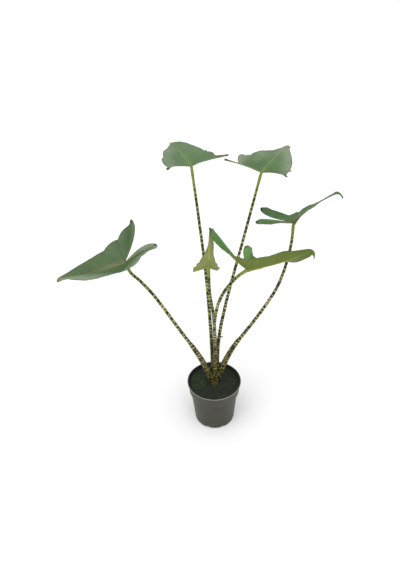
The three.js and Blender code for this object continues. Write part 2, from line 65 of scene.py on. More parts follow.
SOIL_RINGS, SOIL_SIDES, SOIL_SHARP = 80, 200, 60
MOSS_CENTRE, MOSS_REACH, MOSS_COUNT, MOSS_TUFT = (-50, 8), (24, 34), 420, 3
MOSS_SIZES, MOSS_LEAN, MOSS_SUNK, MOSS_FOOT = (1.6, 4.2), (0.1, 0.9), 0.6, 0.22

# Corm, sheaths and stalks
CORM_FOOT, CORM_ROUND, CORM_SIDES, CORM_WOBBLE, CORM_WAVES = 122, 4, 48, 0.5, (0.9, 0.7)
CORM_PROFILE = [(0, 0), (9, 0), (13, 6), (14.5, 18), (12.5, 28), (6, 35), (0, 38)]
SHEATH_WRAP, SHEATH_SUNK, SHEATH_CLOSES, SHEATH_STEP, SHEATH_SIDES = 0.5, 0.35, 9, 1.5, 32
FREE_EDGE_SHARE, FREE_EDGE_WIDTH = 0.05, 0.16
FREE_EDGE_START, FREE_EDGE_TURN, FREE_EDGE_APART = 0.8, 0.012, 1.1
STALK_HEIGHTS, STALK_RADII = [130, 240, 330, 560, 850], [7.2, 5.8, 5.1, 4.2, 3.3]
STALK_STEP, STALK_SIDES, IN_SHEATH, SHORT_OF_FOOT, BELOW_FOOT = 2.0, 28, 16, 7, 3.0
ROUTE_EVERY, PATH_PER_SPAN = 24, 16
BAR_REACH, BAR_RADII, BAR_GAP = [6, 16, 26, 38], [2.7, 2.1, 1.6, 0.9], 0.1
BAR_BEFORE_KNEE, BAR_FROM_RADIUS = 4, 9
SWELL_HEIGHT, SWELL_BEFORE_KNEE, SWELL_REACH = 0.5, 14, 12
GROOVES, GROOVE_DEPTH, GROOVE_TURN = 9, 0.12, 0.05
BAND_SHARES, BAND_SPACING, ROD_RADIUS = [0, 0.15, 0.35, 1], [6.5, 7.5, 12.0, 13.5], 5
SHEATH_TIP = {"height": 318, "right": 1, "forward": 1, "lean": 65, "length": 12, "radius": 2.7,
              "rings": 24, "sides": 14}

# Blades
BLADE_THICKNESS, EDGE_THICKNESS, FULL_THICKNESS_FROM, LEAST_HALF = 0.8, 0.4, 12, 0.6
RIB_DEPTH, RIB_END_DEPTH, RIB_WIDTH, RIB_GROOVE, RIB_STEPS, RIB_FADES = 2.2, 0.5, 1.9, 0.25, 100, (0.94, 1)
FRONT_LEAN, LOBE_SPLAY, FAN_SHARE = 35, 40, 0.3
MIDRIB_HOOK_FROM, LOBE_HOOK_FROM, WAVE_TURNS = 0.8, 0.7, 3
# Stations run along a side of a blade: 0 is the tip, 1 the foot, and the lobe follows up to its end.
BLADE_END = 2 + FAN_SHARE
WIDEST, TAIL_ROUND, BLEND_POWER = 1.15, 0.08, 4
TIP_TAIL_FADES, END_TAIL_GROWS, INNER_TAIL_GROWS = (0.5, 1), (1.3, 1.8), (0.3, 0.8)
INNER_SKEW, INNER_FULLNESS = 1.2, 0.8
LIFT_STATIONS = [0, 1, BLADE_END]
SIDE_VEINS, VEIN_SWEEP, PUFF = 9, 0.08, 0.3
# Fine ripples of the margin: height in millimetres and turns round a side
RIPPLES = (0.3, 12.3), (0.2, 27.1)
RIPPLES_FULL_FROM = 12
# Wear along a side, as spans of stations from the broad part's end, the tip and the lobe's end
TAIL_SPAN, DRY_TIP, DRY_END, YELLOW_TIP = (-0.06, 0.08), (0.01, 0.05), (-0.14, -0.03), (0.04, 0.13)
FRONT_ROWS, FAN_ROWS, LOBE_ROWS = 100, 26, 60
COLUMNS, CROWDED_TO_RIB, INNER_COLUMNS, INNER_CROWDED = 34, 1.5, 12, 1.3

# A length that counts as nothing, and how finely points are told apart
NEAR, PER_MM = 0.1, 1e4

tip_to_foot = np.linspace(1, 0, FRONT_ROWS + 1)
across_fan = np.linspace(0, 1, FAN_ROWS + 1)[1:-1]
along_lobe = np.linspace(0, 1, LOBE_ROWS + 1)
lobe_stations = 1 + FAN_SHARE + along_lobe
outer_stations = np.concatenate([1 - tip_to_foot, 1 + FAN_SHARE * across_fan, lobe_stations])


def side(spread, turn, length, rise, bend, hook, width, front, back, inner, lift, inner_lift, tail=(0, 0),
         broad_to=BLADE_END, marks=()):
    """One side of a blade. The lobe's rib: spread from the midrib, turn, length, rise, bend and hook. The
    margin: greatest half width, how much the front and the lobe are hollowed, half width inside the lobe,
    half widths of a narrow tail at the tip and at the lobe's end, and the station where the broad part ends.
    Lifts tilt the side up at the tip, foot and lobe's end, and the inner lift tilts the strip inside the
    lobe. Marks are bumps of the margin: station, height and reach."""
    return {"spread": spread, "turn": turn, "length": length, "rise": rise, "bend": bend, "hook": hook,
            "width": width, "front": front, "back": back, "inner": inner, "lift": lift,
            "inner_lift": inner_lift, "tail": tail, "broad_to": broad_to, "marks": marks}


# A leaf: its blade's foot, heading, pitch and roll, its sheath's top and swell, its stalk's route, the
# midrib's length, turn, bend and hook, the station where a thread at the tip ends, and the wave's height
LEAVES = {
    "left": {
        "at": (-228, -30, 624), "heading": 210, "pitch": -4, "roll": 0, "sheath": 325, "swell": 3.4,
        "route": [(0, -1, 140), (-41, -10, 261), (-103, -17, 389), (-164, -24, 513), (-196, -27, 563),
                  (-217, -29, 590)],
        "midrib": (180, -5, 15, -25), "thread": 0, "wave": 2,
        "left": side(160, 5, 94, 30, -20, 5, 62, 1.2, 0.7, 17, [-8, 9, 12], 28, (11, 5), BLADE_END,
                     [(1.45, 6, 0.2)]),
        "right": side(140, -15, 118, 35, 5, 5, 66, 1.2, 1.35, 22, [18, 22, 38], -5, (9, 6)),
    },
    "back_left": {
        "at": (-47, 80, 837), "heading": 110, "pitch": 10, "roll": -5, "sheath": 225, "swell": 0.5,
        "route": [(-3, 5, 140), (-6, 9, 310), (-18, 40, 540), (-35, 63, 722)],
        "midrib": (178, 0, -15, -10), "thread": 0, "wave": 2,
        "left": side(115, 0, 88, 29, -10, -32, 77, 1.5, 1.4, 8, [8, 12, 0], 5, (8, 6)),
        "right": side(106, 10, 98, 24, -15, 0, 63, 1.1, 1.2, 8, [12, 10, 9], -10, (8, 7), 2.0),
    },
    "back_right": {
        "at": (135, 100, 806), "heading": 55, "pitch": 15, "roll": 10, "sheath": 235, "swell": 0.5,
        "route": [(8, 5, 140), (16, 14, 310), (39, 36, 430), (89, 66, 629)],
        "midrib": (183, 0, -22, -5), "thread": 0, "wave": 2,
        "left": side(105, 0, 102, 18, -15, 0, 70, 1.9, 0.65, 5, [4, 6, 8], 10, (9, 6), 1.9, [(0.3, 4, 0.12)]),
        "right": side(108, 5, 100, 35, -15, -15, 77, 1.4, 1.4, 8, [0, 1, 4], 14, (8, 6)),
    },
    "young": {
        "at": (-11, -24, 596), "heading": -85, "pitch": 63, "roll": 3, "sheath": 240, "swell": 0.5,
        "route": [(2, -2, 140), (4, -4, 320), (1, -12, 420), (-9, -20, 508)],
        "midrib": (130, 4, 30, -17), "thread": 0, "wave": 1,
        "left": side(145, -8, 45, 8, 0, 5, 25, 2.5, 0.6, 5, [22, 7, 12], 8, (14, 5)),
        "right": side(140, -7, 55, 18, -6, 0, 33, 2.6, 0.9, 6, [4, 11, 16], 6, (3, 5)),
    },
    "right": {
        "at": (214, 20, 697), "heading": -15, "pitch": 55, "roll": -5, "sheath": 325, "swell": 3.4,
        "route": [(1, 2, 140), (56, 3, 282), (120, 7, 385), (184, 12, 506), (211, 17, 627)],
        "midrib": (155, 0, -28, -88), "thread": 0.2, "wave": 2,
        "left": side(142, -20, 128, 42, -7, 0, 38, 3, 0.4, 11, [5, 6, 10], 0, (11, 0), BLADE_END,
                     [(2, 4, 0.12)]),
        "right": side(170, 0, 100, 50, 5, -15, 46, 3, 0.9, 17, [-25, 18, -15], 20, (0, 3)),
    },
    "front": {
        "at": (84, -100, 634), "heading": -10, "pitch": 13, "roll": -10, "sheath": 230, "swell": 0.5,
        "route": [(1, -2, 140), (5, -16, 320), (2, -34, 410), (19, -59, 520), (57, -85, 600)],
        "midrib": (188, 26, 12, -135), "thread": 0.2, "wave": 2,
        "left": side(105, -30, 63, 53, -10, 0, 42, 0.9, 0.7, 13, [-85, 15, 10], 5, (18, 4), BLADE_END,
                     [(0.42, 5, 0.1)]),
        "right": side(175, 12, 142, 48, 23, -5, 44, 1.1, 1, 26, [76, 50, -30], 16, (4, 0), BLADE_END,
                      [(0.55, 6, 0.12)]),
    },
}


# Surfaces

def smoothstep(value, low, high):
    """0 below low, 1 above high, and 3 t squared minus 2 t cubed between them."""
    t = np.clip((np.asarray(value, float) - low) / (high - low), 0, 1)
    return t * t * (3 - 2 * t)


def cubic(t, start, start_slope, end, end_slope):
    """The cubic in t that has these values and slopes at 0 and 1."""
    return ((2 * t**3 - 3 * t**2 + 1) * start + (t**3 - 2 * t**2 + t) * start_slope
            + (3 * t**2 - 2 * t**3) * end + (t**3 - t**2) * end_slope)


def direction(heading, rise):
    """Unit vectors: (cos heading cos rise, sin heading cos rise, sin rise)."""
    turn, up = np.broadcast_arrays(np.radians(heading), np.radians(rise))
    return np.stack([np.cos(turn) * np.cos(up), np.sin(turn) * np.cos(up), np.sin(up)], -1)


def circle(sides):
    """Angles round a full turn, with their cosines and sines. The last repeats the first exactly."""
    angle = np.linspace(0, 2 * np.pi, sides + 1)
    cosine, sine = np.cos(angle), np.sin(angle)
    cosine[-1], sine[-1] = 1, 0
    return angle, cosine, sine


def through(value, places, amounts):
    """A smooth curve through amounts at places: cubic pieces whose slopes are the weighted mean of the slopes
    on both sides."""
    places, amounts = np.array(places, float), np.array(amounts, float)
    slopes = np.gradient(amounts, places)
    i = np.clip(np.searchsorted(places, value, side="right") - 1, 0, len(places) - 2)
    step = places[i + 1] - places[i]
    t = (value - places[i]) / step
    return cubic(t, amounts[i], step * slopes[i], amounts[i + 1], step * slopes[i + 1])


def joined(grids):
    """One surface from grids of points. Each cell is two triangles, points in one place are merged, and
    triangles that lose a side are dropped. Also gives each corner's and each merged point's place in the
    grids."""
    points = np.concatenate([grid.reshape(-1, 3) for grid in grids])
    cells, start = [], 0
    for grid in grids:
        rows, columns = grid.shape[:2]
        number = np.arange(rows * columns).reshape(rows, columns) + start
        a, b, c, d = number[:-1, :-1], number[:-1, 1:], number[1:, 1:], number[1:, :-1]
        cells += [np.stack([a, b, c], -1).reshape(-1, 3), np.stack([a, c, d], -1).reshape(-1, 3)]
        start += rows * columns
    corners = np.concatenate(cells)
    _, first, merged = np.unique(np.round(points * PER_MM).astype(np.int64), axis=0,
                                 return_index=True, return_inverse=True)
    faces = merged.ravel()[corners]
    whole = (faces[:, 0] != faces[:, 1]) & (faces[:, 1] != faces[:, 2]) & (faces[:, 2] != faces[:, 0])
    return points[first], faces[whole], corners[whole], first


def point_normals(points, faces):
    """Unit normals at points: the unit normals of the faces that meet there are added up."""
    tiny = 1e-12
    flat = np.cross(points[faces[:, 1]] - points[faces[:, 0]], points[faces[:, 2]] - points[faces[:, 0]])
    flat /= np.linalg.norm(flat, axis=1, keepdims=True) + tiny
    normals = np.zeros_like(points)
    for k in range(3):
        np.add.at(normals, faces[:, k], flat)
    return normals / (np.linalg.norm(normals, axis=1, keepdims=True) + tiny)


def sides_of(faces):
    """The three sides of each triangle, as pairs."""
    return np.concatenate([faces[:, [0, 1]], faces[:, [1, 2]], faces[:, [2, 0]]])


def open_sides(faces, corners, count):
    """The sides that only one face has, as pairs of points and as pairs of places in the grids."""
    sides = sides_of(faces)
    alone = ~np.isin(sides[:, 1] * count + sides[:, 0], sides[:, 0] * count + sides[:, 1])
    return sides[alone], sides_of(corners)[alone]


def mark_sharp(mesh, pairs):
    """Marks the mesh's edges between pairs of points as sharp."""
    size = len(mesh.vertices)
    ends = np.zeros(len(mesh.edges) * 2, np.int32)
    mesh.edges.foreach_get("vertices", ends)
    ends, wanted = np.sort(ends.reshape(-1, 2), 1), np.sort(pairs, 1)
    sharp = np.isin(ends[:, 0] * size + ends[:, 1], wanted[:, 0] * size + wanted[:, 1])
    mesh.attributes.new("sharp_edge", "BOOLEAN", "EDGE").data.foreach_set("value", sharp)


def piece(name, points, faces, materials, kinds=None, maps=None, values=None, sharp=None, sharp_angle=None):
    """A mesh object in metres at the origin. kinds are the faces' materials, maps the UV maps by corner,
    values the vectors by point, and sharp the pairs of points whose edges are sharp."""
    mesh = bpy.data.meshes.new(name)
    mesh.vertices.add(len(points))
    mesh.vertices.foreach_set("co", (np.asarray(points) * MM).astype(np.float32).ravel())
    mesh.loops.add(faces.size)
    mesh.loops.foreach_set("vertex_index", faces.astype(np.int32).ravel())
    mesh.polygons.add(len(faces))
    mesh.polygons.foreach_set("loop_start", np.arange(len(faces), dtype=np.int32) * 3)
    for material in materials:
        mesh.materials.append(material)
    if kinds is not None:
        mesh.polygons.foreach_set("material_index", kinds.astype(np.int32))
    mesh.update(calc_edges=True)
    for map_name, places in (maps or {}).items():
        layer = mesh.uv_layers.new(name=map_name)
        layer.uv.foreach_set("vector", places.astype(np.float32).ravel())
    for value_name, vectors in (values or {}).items():
        attribute = mesh.attributes.new(value_name, "FLOAT_VECTOR", "POINT")
        attribute.data.foreach_set("vector", vectors.astype(np.float32).ravel())
    mesh.shade_smooth()
    if sharp_angle is not None:
        mesh.set_sharp_from_angle(angle=np.radians(sharp_angle))
    if sharp is not None:
        mark_sharp(mesh, sharp)
    made = bpy.data.objects.new(name, mesh)
    bpy.context.scene.collection.objects.link(made)
    return made


def seat(made, slot, *nodes):
    """The piece rides on the plant's one body and stands for the CAD nodes named. Its slot is not used."""
    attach(made, "root")
    if nodes:
        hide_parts(*nodes)
    return made


# Tools for finishes

def paint(red, green, blue):
    """A colour from screen values of 0 to 255, as light."""
    screen = np.array([red, green, blue]) / 255
    light = np.where(screen <= 0.04045, screen / 12.92, ((screen + 0.055) / 1.055) ** 2.4)
    return (*(float(value) for value in light), 1.0)


def new_finish(name):
    """A new material and its node tree."""
    material = bpy.data.materials.new(name)
    material.use_nodes = True
    return material, material.node_tree


def give(tree, inputs, values):
    """Links readings to a node's inputs, and sets plain values there."""
    for key, value in values.items():
        if isinstance(value, Reading):
            tree.links.new(value.socket, inputs[key])
        else:
            inputs[key].default_value = value


def node(tree, kind, inputs, out=0, **settings):
    """Adds a node with its settings and inputs, and reads one of its outputs."""
    made = tree.nodes.new("ShaderNode" + kind)
    for key, value in settings.items():
        setattr(made, key, value)
    give(tree, made.inputs, inputs)
    return Reading(tree, made.outputs[out])


class Reading:
    """What a node puts out, for use in formulas: plus, minus, times and the named steps add the nodes."""

    def __init__(self, tree, socket):
        self.tree, self.socket = tree, socket

    def maths(self, kind, *others):
        """A Math node's result from this reading and the others."""
        return node(self.tree, "Math", dict(enumerate((self, *others))), operation=kind)

    def __add__(self, other):
        return self.maths("ADD", other)

    def __sub__(self, other):
        return self.maths("SUBTRACT", other)

    def __mul__(self, other):
        return self.maths("MULTIPLY", other)

    def ramp(self, low, high, start, end, style="LINEAR"):
        """From start at low to end at high, and level outside them."""
        spans = {"From Min": low, "From Max": high, "To Min": start, "To Max": end}
        return node(self.tree, "MapRange", {"Value": self, **spans}, interpolation_type=style)

    def rises(self, low, high):
        """A smooth step from 0 at low to 1 at high."""
        return self.ramp(low, high, 0.0, 1.0, "SMOOTHSTEP")

    def falls(self, low, high):
        """A smooth step from 1 at low to 0 at high."""
        return self.ramp(low, high, 1.0, 0.0, "SMOOTHSTEP")

    def within(self, rise, fall):
        """A plateau: it rises over the first span and falls over the second."""
        return self.rises(*rise) - self.rises(*fall)

    def noise(self, scale, detail=2.0, rough=0.5):
        """Noise at this place, from 0 to 1."""
        values = {"Vector": self, "Scale": scale, "Detail": detail, "Roughness": rough}
        return node(self.tree, "TexNoise", values)

    def scaled(self, scale):
        """This place with each axis multiplied."""
        return node(self.tree, "Mapping", {"Vector": self, "Scale": scale})

    def parts(self):
        """The three numbers of this vector."""
        outputs = node(self.tree, "SeparateXYZ", {0: self}).socket.node.outputs
        return [Reading(self.tree, socket) for socket in outputs]


def place_in(tree):
    """The place on the object, in metres."""
    return node(tree, "TexCoord", {}, "Object")


def carried(tree, name):
    """A vector that the mesh carries by point."""
    return node(tree, "Attribute", {}, "Vector", attribute_name=name)


def mixed(share, first, second):
    """The colour that lies a share of the way from the first to the second."""
    return node(share.tree, "Mix", {0: share, 6: first, 7: second}, 2, data_type="RGBA")


def coated(colour, *coats):
    """Tones laid over a colour in turn, each by its share."""
    for share, tone in coats:
        colour = mixed(share, colour, tone)
    return colour


def finished(material, colour, rough, relief, depth, strength, gloss=None):
    """The material with its colour, roughness, relief up to a depth in metres, and specular level."""
    tree = material.node_tree
    bump = node(tree, "Bump", {"Height": relief, "Distance": depth, "Strength": strength}, "Normal")
    values = {"Base Color": colour, "Roughness": rough, "Normal": bump}
    if gloss is not None:
        values["Specular IOR Level"] = gloss
    give(tree, tree.nodes["Principled BSDF"].inputs, values)
    return material


# Finishes: pairs such as (0.02, 0.3) are where a mark starts to change and where it has changed

def vein_marks(place, station, across):
    """Side veins run near where the count of veins times the station plus a sweep is a whole number. Their
    lines fade towards the margin, a broad shade lies beside them, and a net of fine veins lies between
    them."""
    swept = across * across * VEIN_SWEEP + station
    phase = swept * SIDE_VEINS + place.noise(30, 1.0) * 0.35
    beside = phase.maths("PINGPONG", 0.5)
    line = beside.falls(0.015, 0.07) * (across.falls(0.3, 1.0) * 0.8 + 0.1)
    net = node(place.tree, "TexVoronoi", {"Vector": place, "Scale": 230.0}, feature="DISTANCE_TO_EDGE")
    return line, beside.falls(0.02, 0.3), net.falls(0.0, 0.12)


def foot_streaks(place, station, from_rib):
    """Combed streaks beside the midrib, near the foot."""
    near = station.within((0.3, 0.9), (1.02, 1.2)) * from_rib.falls(4.0, 20.0)
    return place.scaled((1, 2.5, 4)).noise(130, 3.0, 0.7).rises(0.34, 0.6) * near


def rib_mark(station, from_rib, width):
    """A rib of a width, whose tone fades towards its ends."""
    fade = station.within((0.1, 0.6), (1.5, 2.2))
    return from_rib.falls(width * 0.5, width * 1.8) * (fade * 0.8 + 0.1)


def blade_finish(name, deep, bright, vein, edge, rough, under=False, foot=None):
    """A leaf skin: two greens in clouds and specks, pale veins and ribs, a painted sheen, a pale painted
    reflection in a broad band inside the margin by each side's share, a darker margin, a yellowed tip, an
    olive tail and dry ends. The foot's tone and share streak the skin near the foot."""
    material, tree = new_finish(name)
    place = place_in(tree)
    station, across, _ = node(tree, "UVMap", {}, uv_map="veins").parts()
    from_rib, from_edge, _ = node(tree, "UVMap", {}, uv_map="spans").parts()
    in_tail, dried, yellowed = carried(tree, "wear").parts()
    # Painted sheen: a pale painted reflection in a broad band inside the margin, by each side's share
    sheen_share, _, _ = carried(tree, "painted_sheen").parts()
    line, beside, net = vein_marks(place, station, across)
    cloud, speck = place.noise(17, 3.0, 0.55), place.noise(210, 2.0, 0.6)
    painted_sheen = from_edge.falls(4.0, 42.0) * place.noise(12).rises(0.3, 0.56)
    foot_tone, foot_share = foot or (vein, 0.12)
    margin = from_edge.falls(0.5, 2.8) * (place.noise(60).rises(0.35, 0.6) * 0.45 + 0.45)
    tail_tone = mixed(place.noise(120, 1.0).rises(0.4, 0.6), paint(112, 124, 66), paint(70, 74, 40))
    colour = coated(mixed(cloud * 1.6 + (speck * 0.35 - 0.55) - beside * 0.3, deep, bright),
                    (net * 0.08, vein),
                    (line * (0.45 if under else 0.34), vein),
                    # the pale tone of the painted reflection
                    (painted_sheen * sheen_share, paint(138, 152, 126)),
                    (foot_streaks(place, station, from_rib) * foot_share, foot_tone),
                    (yellowed * 0.5, paint(128, 152, 62)),
                    (margin, edge),
                    (rib_mark(station, from_rib, 1.5 if under else 0.8) * (0.3 if foot else 0.65), vein),
                    (in_tail * 0.9, tail_tone),
                    ((speck * 0.5 + dried).rises(0.5, 0.95) * 0.85, edge))
    sign = 1.0 if under else -1.0
    relief = line * (0.8 * sign) + net * (0.2 * sign) + speck * 0.18
    return finished(material, colour, cloud * 0.16 + (rough - 0.08), relief, 0.0005, 0.8, 0.3)


def stalk_finish(name, dark_low, dark_high, pale_low, pale_mid, pale_high):
    """Zebra skin. Dark blotches where clumps, patches and bent rings together pass a level. The level rises
    along the stalk, so that the dark cover falls from most of the skin at the foot to next to none under
    the blade."""
    material, tree = new_finish(name)
    rod = carried(tree, "rod")
    phase, share, _ = carried(tree, "bands").parts()
    turn = (rod.noise(120, 2.0, 0.55) * 1.2 + phase) * (2 * np.pi)
    ring = turn.maths("SINE")
    clump, patch = rod.noise(95, 1.0) - 0.5, rod.noise(260, 1.0) - 0.5
    level = clump * share.ramp(0.0, 0.3, 0.5, 1.3) + patch * 1.7 + ring * 0.34
    level = level + share.ramp(0.1, 0.8, 0.3, 0.12) - share.rises(0.78, 1.0)
    dark = level.rises(-0.05, 0.05)
    pale = coated(mixed(share.rises(0.12, 0.4), pale_low, pale_mid), (share.rises(0.55, 0.9), pale_high),
                  (rod.noise(60, 3.0, 0.6) * 0.35, pale_high))
    deep = mixed(share.rises(0.2, 0.7), dark_low, dark_high)
    return finished(material, mixed(dark * 0.97, pale, deep), patch * 0.2 + 0.5, dark * 0.5 + patch * 0.6,
                    0.0004, 0.7, 0.3)


def pot_finish(name, dark, light, dust):
    """Satin moulded plastic: faint flow lines, a dusty cast near the foot, fine grain, and a faint pale line
    just above the collar's lower edge."""
    material, tree = new_finish(name)
    place = place_in(tree)
    flow, cloud = place.scaled((1, 1, 7)).noise(22, 3.0, 0.6), place.noise(9, 3.0, 0.6)
    _, _, height = place.parts()
    # A faint pale line just above the collar's lower edge
    above_edge = height - (collar_foot + 1.5) * MM
    collar_edge_line = above_edge.maths("ABSOLUTE").falls(0.8 * MM, 2.2 * MM)
    colour = coated(mixed(cloud * 0.8 + (flow * 0.5 - 0.15), dark, light),
                    (height.falls(0.0, 0.09) * 0.2, dust),
                    (collar_edge_line * 0.3, paint(112, 110, 98)))
    relief = flow * 0.8 + place.noise(900, 2.0, 0.6) * 0.4
    return finished(material, colour, cloud * 0.2 + 0.4, relief, 0.0003, 0.5, 0.35)


def soil_finish(name, deep, bright, fine, green=None):
    """Damp earth or moss: two colours by coarse and fine grain, rough, with a crumbly bump. A green film lies
    on the earth round the moss where a tone for it is given."""
    material, tree = new_finish(name)
    place = place_in(tree)
    coarse, grain = place.noise(70, 4.0, 0.65), place.noise(fine, 3.0, 0.7)
    colour = mixed(coarse * 1.2 + (grain * 0.9 - 0.6), deep, bright)
    if green:
        centre = (MOSS_CENTRE[0] * MM, MOSS_CENTRE[1] * MM, SOIL_TOP * MM)
        away = node(tree, "VectorMath", {0: place, 1: centre}, "Value", operation="DISTANCE")
        colour = mixed(away.falls(0.015, 0.055) * coarse.rises(0.35, 0.6) * 0.5, colour, green)
    return finished(material, colour, 0.9, coarse + grain, 0.0012, 0.9)


def dry_finish(name, dark, light):
    """A dried, papery sheath or a corm's skin, with grain along the height."""
    material, tree = new_finish(name)
    grain = place_in(tree).scaled((6, 6, 1)).noise(120, 3.0, 0.6)
    return finished(material, mixed(grain, dark, light), 0.75, grain, 0.0006, 0.7)


# Stalks and sheaths

def curve_points(points, per_span=60):
    """A centripetal curve through the points: on each span a cubic whose end slopes weigh the neighbouring
    spans by the square roots of their lengths. Each span is read at even steps of its cubic."""
    given = np.array(points, float)
    given = np.concatenate([[2 * given[0] - given[1]], given, [2 * given[-1] - given[-2]]])
    p0, p1, p2, p3 = given[:-3], given[1:-2], given[2:-1], given[3:]
    d0, d1, d2 = (np.sqrt(np.linalg.norm(b - a, axis=1))[:, None] for a, b in ((p0, p1), (p1, p2), (p2, p3)))
    m1 = ((p1 - p0) / d0 - (p2 - p0) / (d0 + d1) + (p2 - p1) / d1) * d1
    m2 = ((p2 - p1) / d1 - (p3 - p1) / (d1 + d2) + (p3 - p2) / d2) * d1
    t = np.linspace(0, 1, per_span, endpoint=False)[:, None]
    spans = [cubic(t, p1[i], m1[i], p2[i], m2[i]) for i in range(len(p1))]
    return np.concatenate(spans + [p2[-1:]])


def route_of(leaf):
    """The curve of a leaf's stalk, from the corm to the blade's foot."""
    return curve_points([*leaf["route"], leaf["at"]])


def evenly_along(points, step):
    """The points at even steps of the path's length, with their distances along it."""
    lengths = np.concatenate([[0], np.cumsum(np.linalg.norm(np.diff(points, axis=0), axis=1))])
    along = np.linspace(0, lengths[-1], max(3, int(round(lengths[-1] / step)) + 1))
    return np.stack([np.interp(along, lengths, points[:, k]) for k in range(3)], -1), along


def tube(middles, radii, sides):
    """Rings square to a path. A ring's first direction is X less its part along the path, the second is the
    path's direction crossed with it, and a point is the middle plus the radius times the cosine of the first
    and the sine of the second."""
    along = np.gradient(middles, axis=0)
    along /= np.linalg.norm(along, axis=1, keepdims=True)
    first = np.array([1.0, 0, 0]) - along[:, :1] * along
    first /= np.linalg.norm(first, axis=1, keepdims=True)
    second = np.cross(along, first)
    angle, cosine, sine = circle(sides)
    around = radii if radii.ndim == 2 else radii[:, None] + 0 * angle
    turned_round = cosine[:, None] * first[:, None] + sine[:, None] * second[:, None]
    rings = middles[:, None] + around[..., None] * turned_round
    rings[:, -1] = rings[:, 0]
    return rings, angle


def capped(rings, middles):
    """The rings with a point at each end, so that the tube is closed."""
    start = np.repeat(middles[:1, None], rings.shape[1], 1)
    end = np.repeat(middles[-1:, None], rings.shape[1], 1)
    return np.concatenate([start, rings, end])


def with_ends(values):
    """Values by ring, with the first and the last repeated for the points that close the tube."""
    return np.concatenate([values[:1], values, values[-1:]]).reshape(-1, 3)


def stalk_radius(height):
    """A stalk's radius by height above the surface."""
    return np.interp(height, STALK_HEIGHTS, STALK_RADII)


def leaf_axes(leaf):
    """Rows: the blade's forward, left and up directions."""
    forward, left = direction(leaf["heading"], leaf["pitch"]), direction(leaf["heading"] + 90, 0)
    up, roll = np.cross(forward, left), np.radians(leaf["roll"])
    left, up = left * np.cos(roll) + up * np.sin(roll), up * np.cos(roll) - left * np.sin(roll)
    return np.stack([forward, left, up])


def band_values(along, total, angle):
    """Where the zebra pattern is read: the skin rolled on a round bar, with the distance along it, and the
    rings' phase, the running sum of the steps over the spacing there. Higher up, a ring and its gap take
    more room."""
    share = along / total
    spacing = np.interp(share, BAND_SHARES, BAND_SPACING)
    phase = np.concatenate([[0], np.cumsum(np.diff(along) / ((spacing[1:] + spacing[:-1]) / 2))])
    flat = np.ones((len(along), len(angle)))
    x, y = ROD_RADIUS * np.cos(angle) * flat, ROD_RADIUS * np.sin(angle) * flat
    rod = np.stack([x, y, along[:, None] * flat], -1) * MM
    bands = np.stack([phase[:, None] * flat, share[:, None] * flat, 0 * flat], -1)
    return with_ends(rod), with_ends(bands)


def stalk_path(leaf, route):
    """The stalk's middle: the route's points, thinned out, from inside the sheath to just short of the
    blade's foot, and then a bar under the midrib, whose middle lies its own radius and a small gap below the
    sheet."""
    forward, _, up = leaf_axes(leaf)
    foot = np.array(leaf["at"], float)
    reach, radii = np.array(BAR_REACH)[:, None], np.array(BAR_RADII)[:, None]
    under = foot + reach * forward - (radii + BAR_GAP) * up
    keep = (np.linalg.norm(route - foot, axis=1) > SHORT_OF_FOOT) & (route[:, 2] > leaf["sheath"] - IN_SHEATH)
    base = route[keep]
    path = [base[::ROUTE_EVERY], base[-1:], [foot - BELOW_FOOT * up], under]
    return curve_points(np.concatenate(path), PATH_PER_SPAN)


def build_stalk(name, leaf, material):
    """The stalk: a tube along the leaf's route that thins with height, swells slightly under the blade, and
    shrinks under the midrib. Shallow grooves turn slowly round it."""
    route = route_of(leaf)
    hidden = route[route[:, 2] <= leaf["sheath"] - IN_SHEATH]
    offset = np.linalg.norm(np.diff(hidden, axis=0), axis=1).sum()
    middles, along = evenly_along(stalk_path(leaf, route), STALK_STEP)
    knee = along[-1] - BAR_REACH[-1]
    radii = stalk_radius(middles[:, 2])
    radii = radii + SWELL_HEIGHT * np.exp(-((along - knee + SWELL_BEFORE_KNEE) / SWELL_REACH) ** 2)
    bar_at = [knee - BAR_BEFORE_KNEE, *(knee + reach for reach in BAR_REACH)]
    radii = np.minimum(radii, np.interp(along, bar_at, [BAR_FROM_RADIUS, *BAR_RADII]))
    rings, angle = tube(middles, radii, STALK_SIDES)
    groove = GROOVE_DEPTH * np.sin(GROOVES * angle + along[:, None] * GROOVE_TURN)[..., None]
    rings = rings + groove * (rings - middles[:, None]) / np.maximum(radii, 1)[:, None, None]
    rings[:, -1] = rings[:, 0]
    rod, bands = band_values(along + offset, offset + along[-1], angle)
    points, faces, _, first = joined([capped(rings, middles)])
    values = {"rod": rod[first], "bands": bands[first]}
    made = piece("stalk_skin_" + name, points, faces, [material], values=values)
    return seat(made, "stalk", "stalk_" + name)


def sheath_tube(number, leaf):
    """A sheath: a tube around its stalk's foot that narrows to the stalk at its top, with a free edge that
    stands out as a low ridge along it. Its rings come with their band values."""
    middles, along = evenly_along(route_of(leaf), SHEATH_STEP)
    total, top, low = along[-1], leaf["sheath"], leaf["route"][0][2]
    keep = middles[:, 2] < top
    middles, along = middles[keep], along[keep]
    fade = np.clip((top - middles[:, 2]) / (top - low), 0, 1)
    radii = stalk_radius(middles[:, 2]) + SHEATH_WRAP + leaf["swell"] * np.sqrt(fade)
    radii = radii - (SHEATH_WRAP + SHEATH_SUNK) * smoothstep(along, along[-1] - SHEATH_CLOSES, along[-1])
    angle = np.linspace(0, 2 * np.pi, SHEATH_SIDES + 1)
    edge_at = FREE_EDGE_START + FREE_EDGE_TURN * along[:, None] + FREE_EDGE_APART * number
    ridge = np.exp(-((np.angle(np.exp(1j * (angle - edge_at)))) / FREE_EDGE_WIDTH) ** 2)
    around = radii[:, None] * (1 + FREE_EDGE_SHARE * ridge * fade[:, None])
    around[:, -1] = around[:, 0]
    rings, angle = tube(middles, around, SHEATH_SIDES)
    return capped(rings, middles), *band_values(along, total, angle)


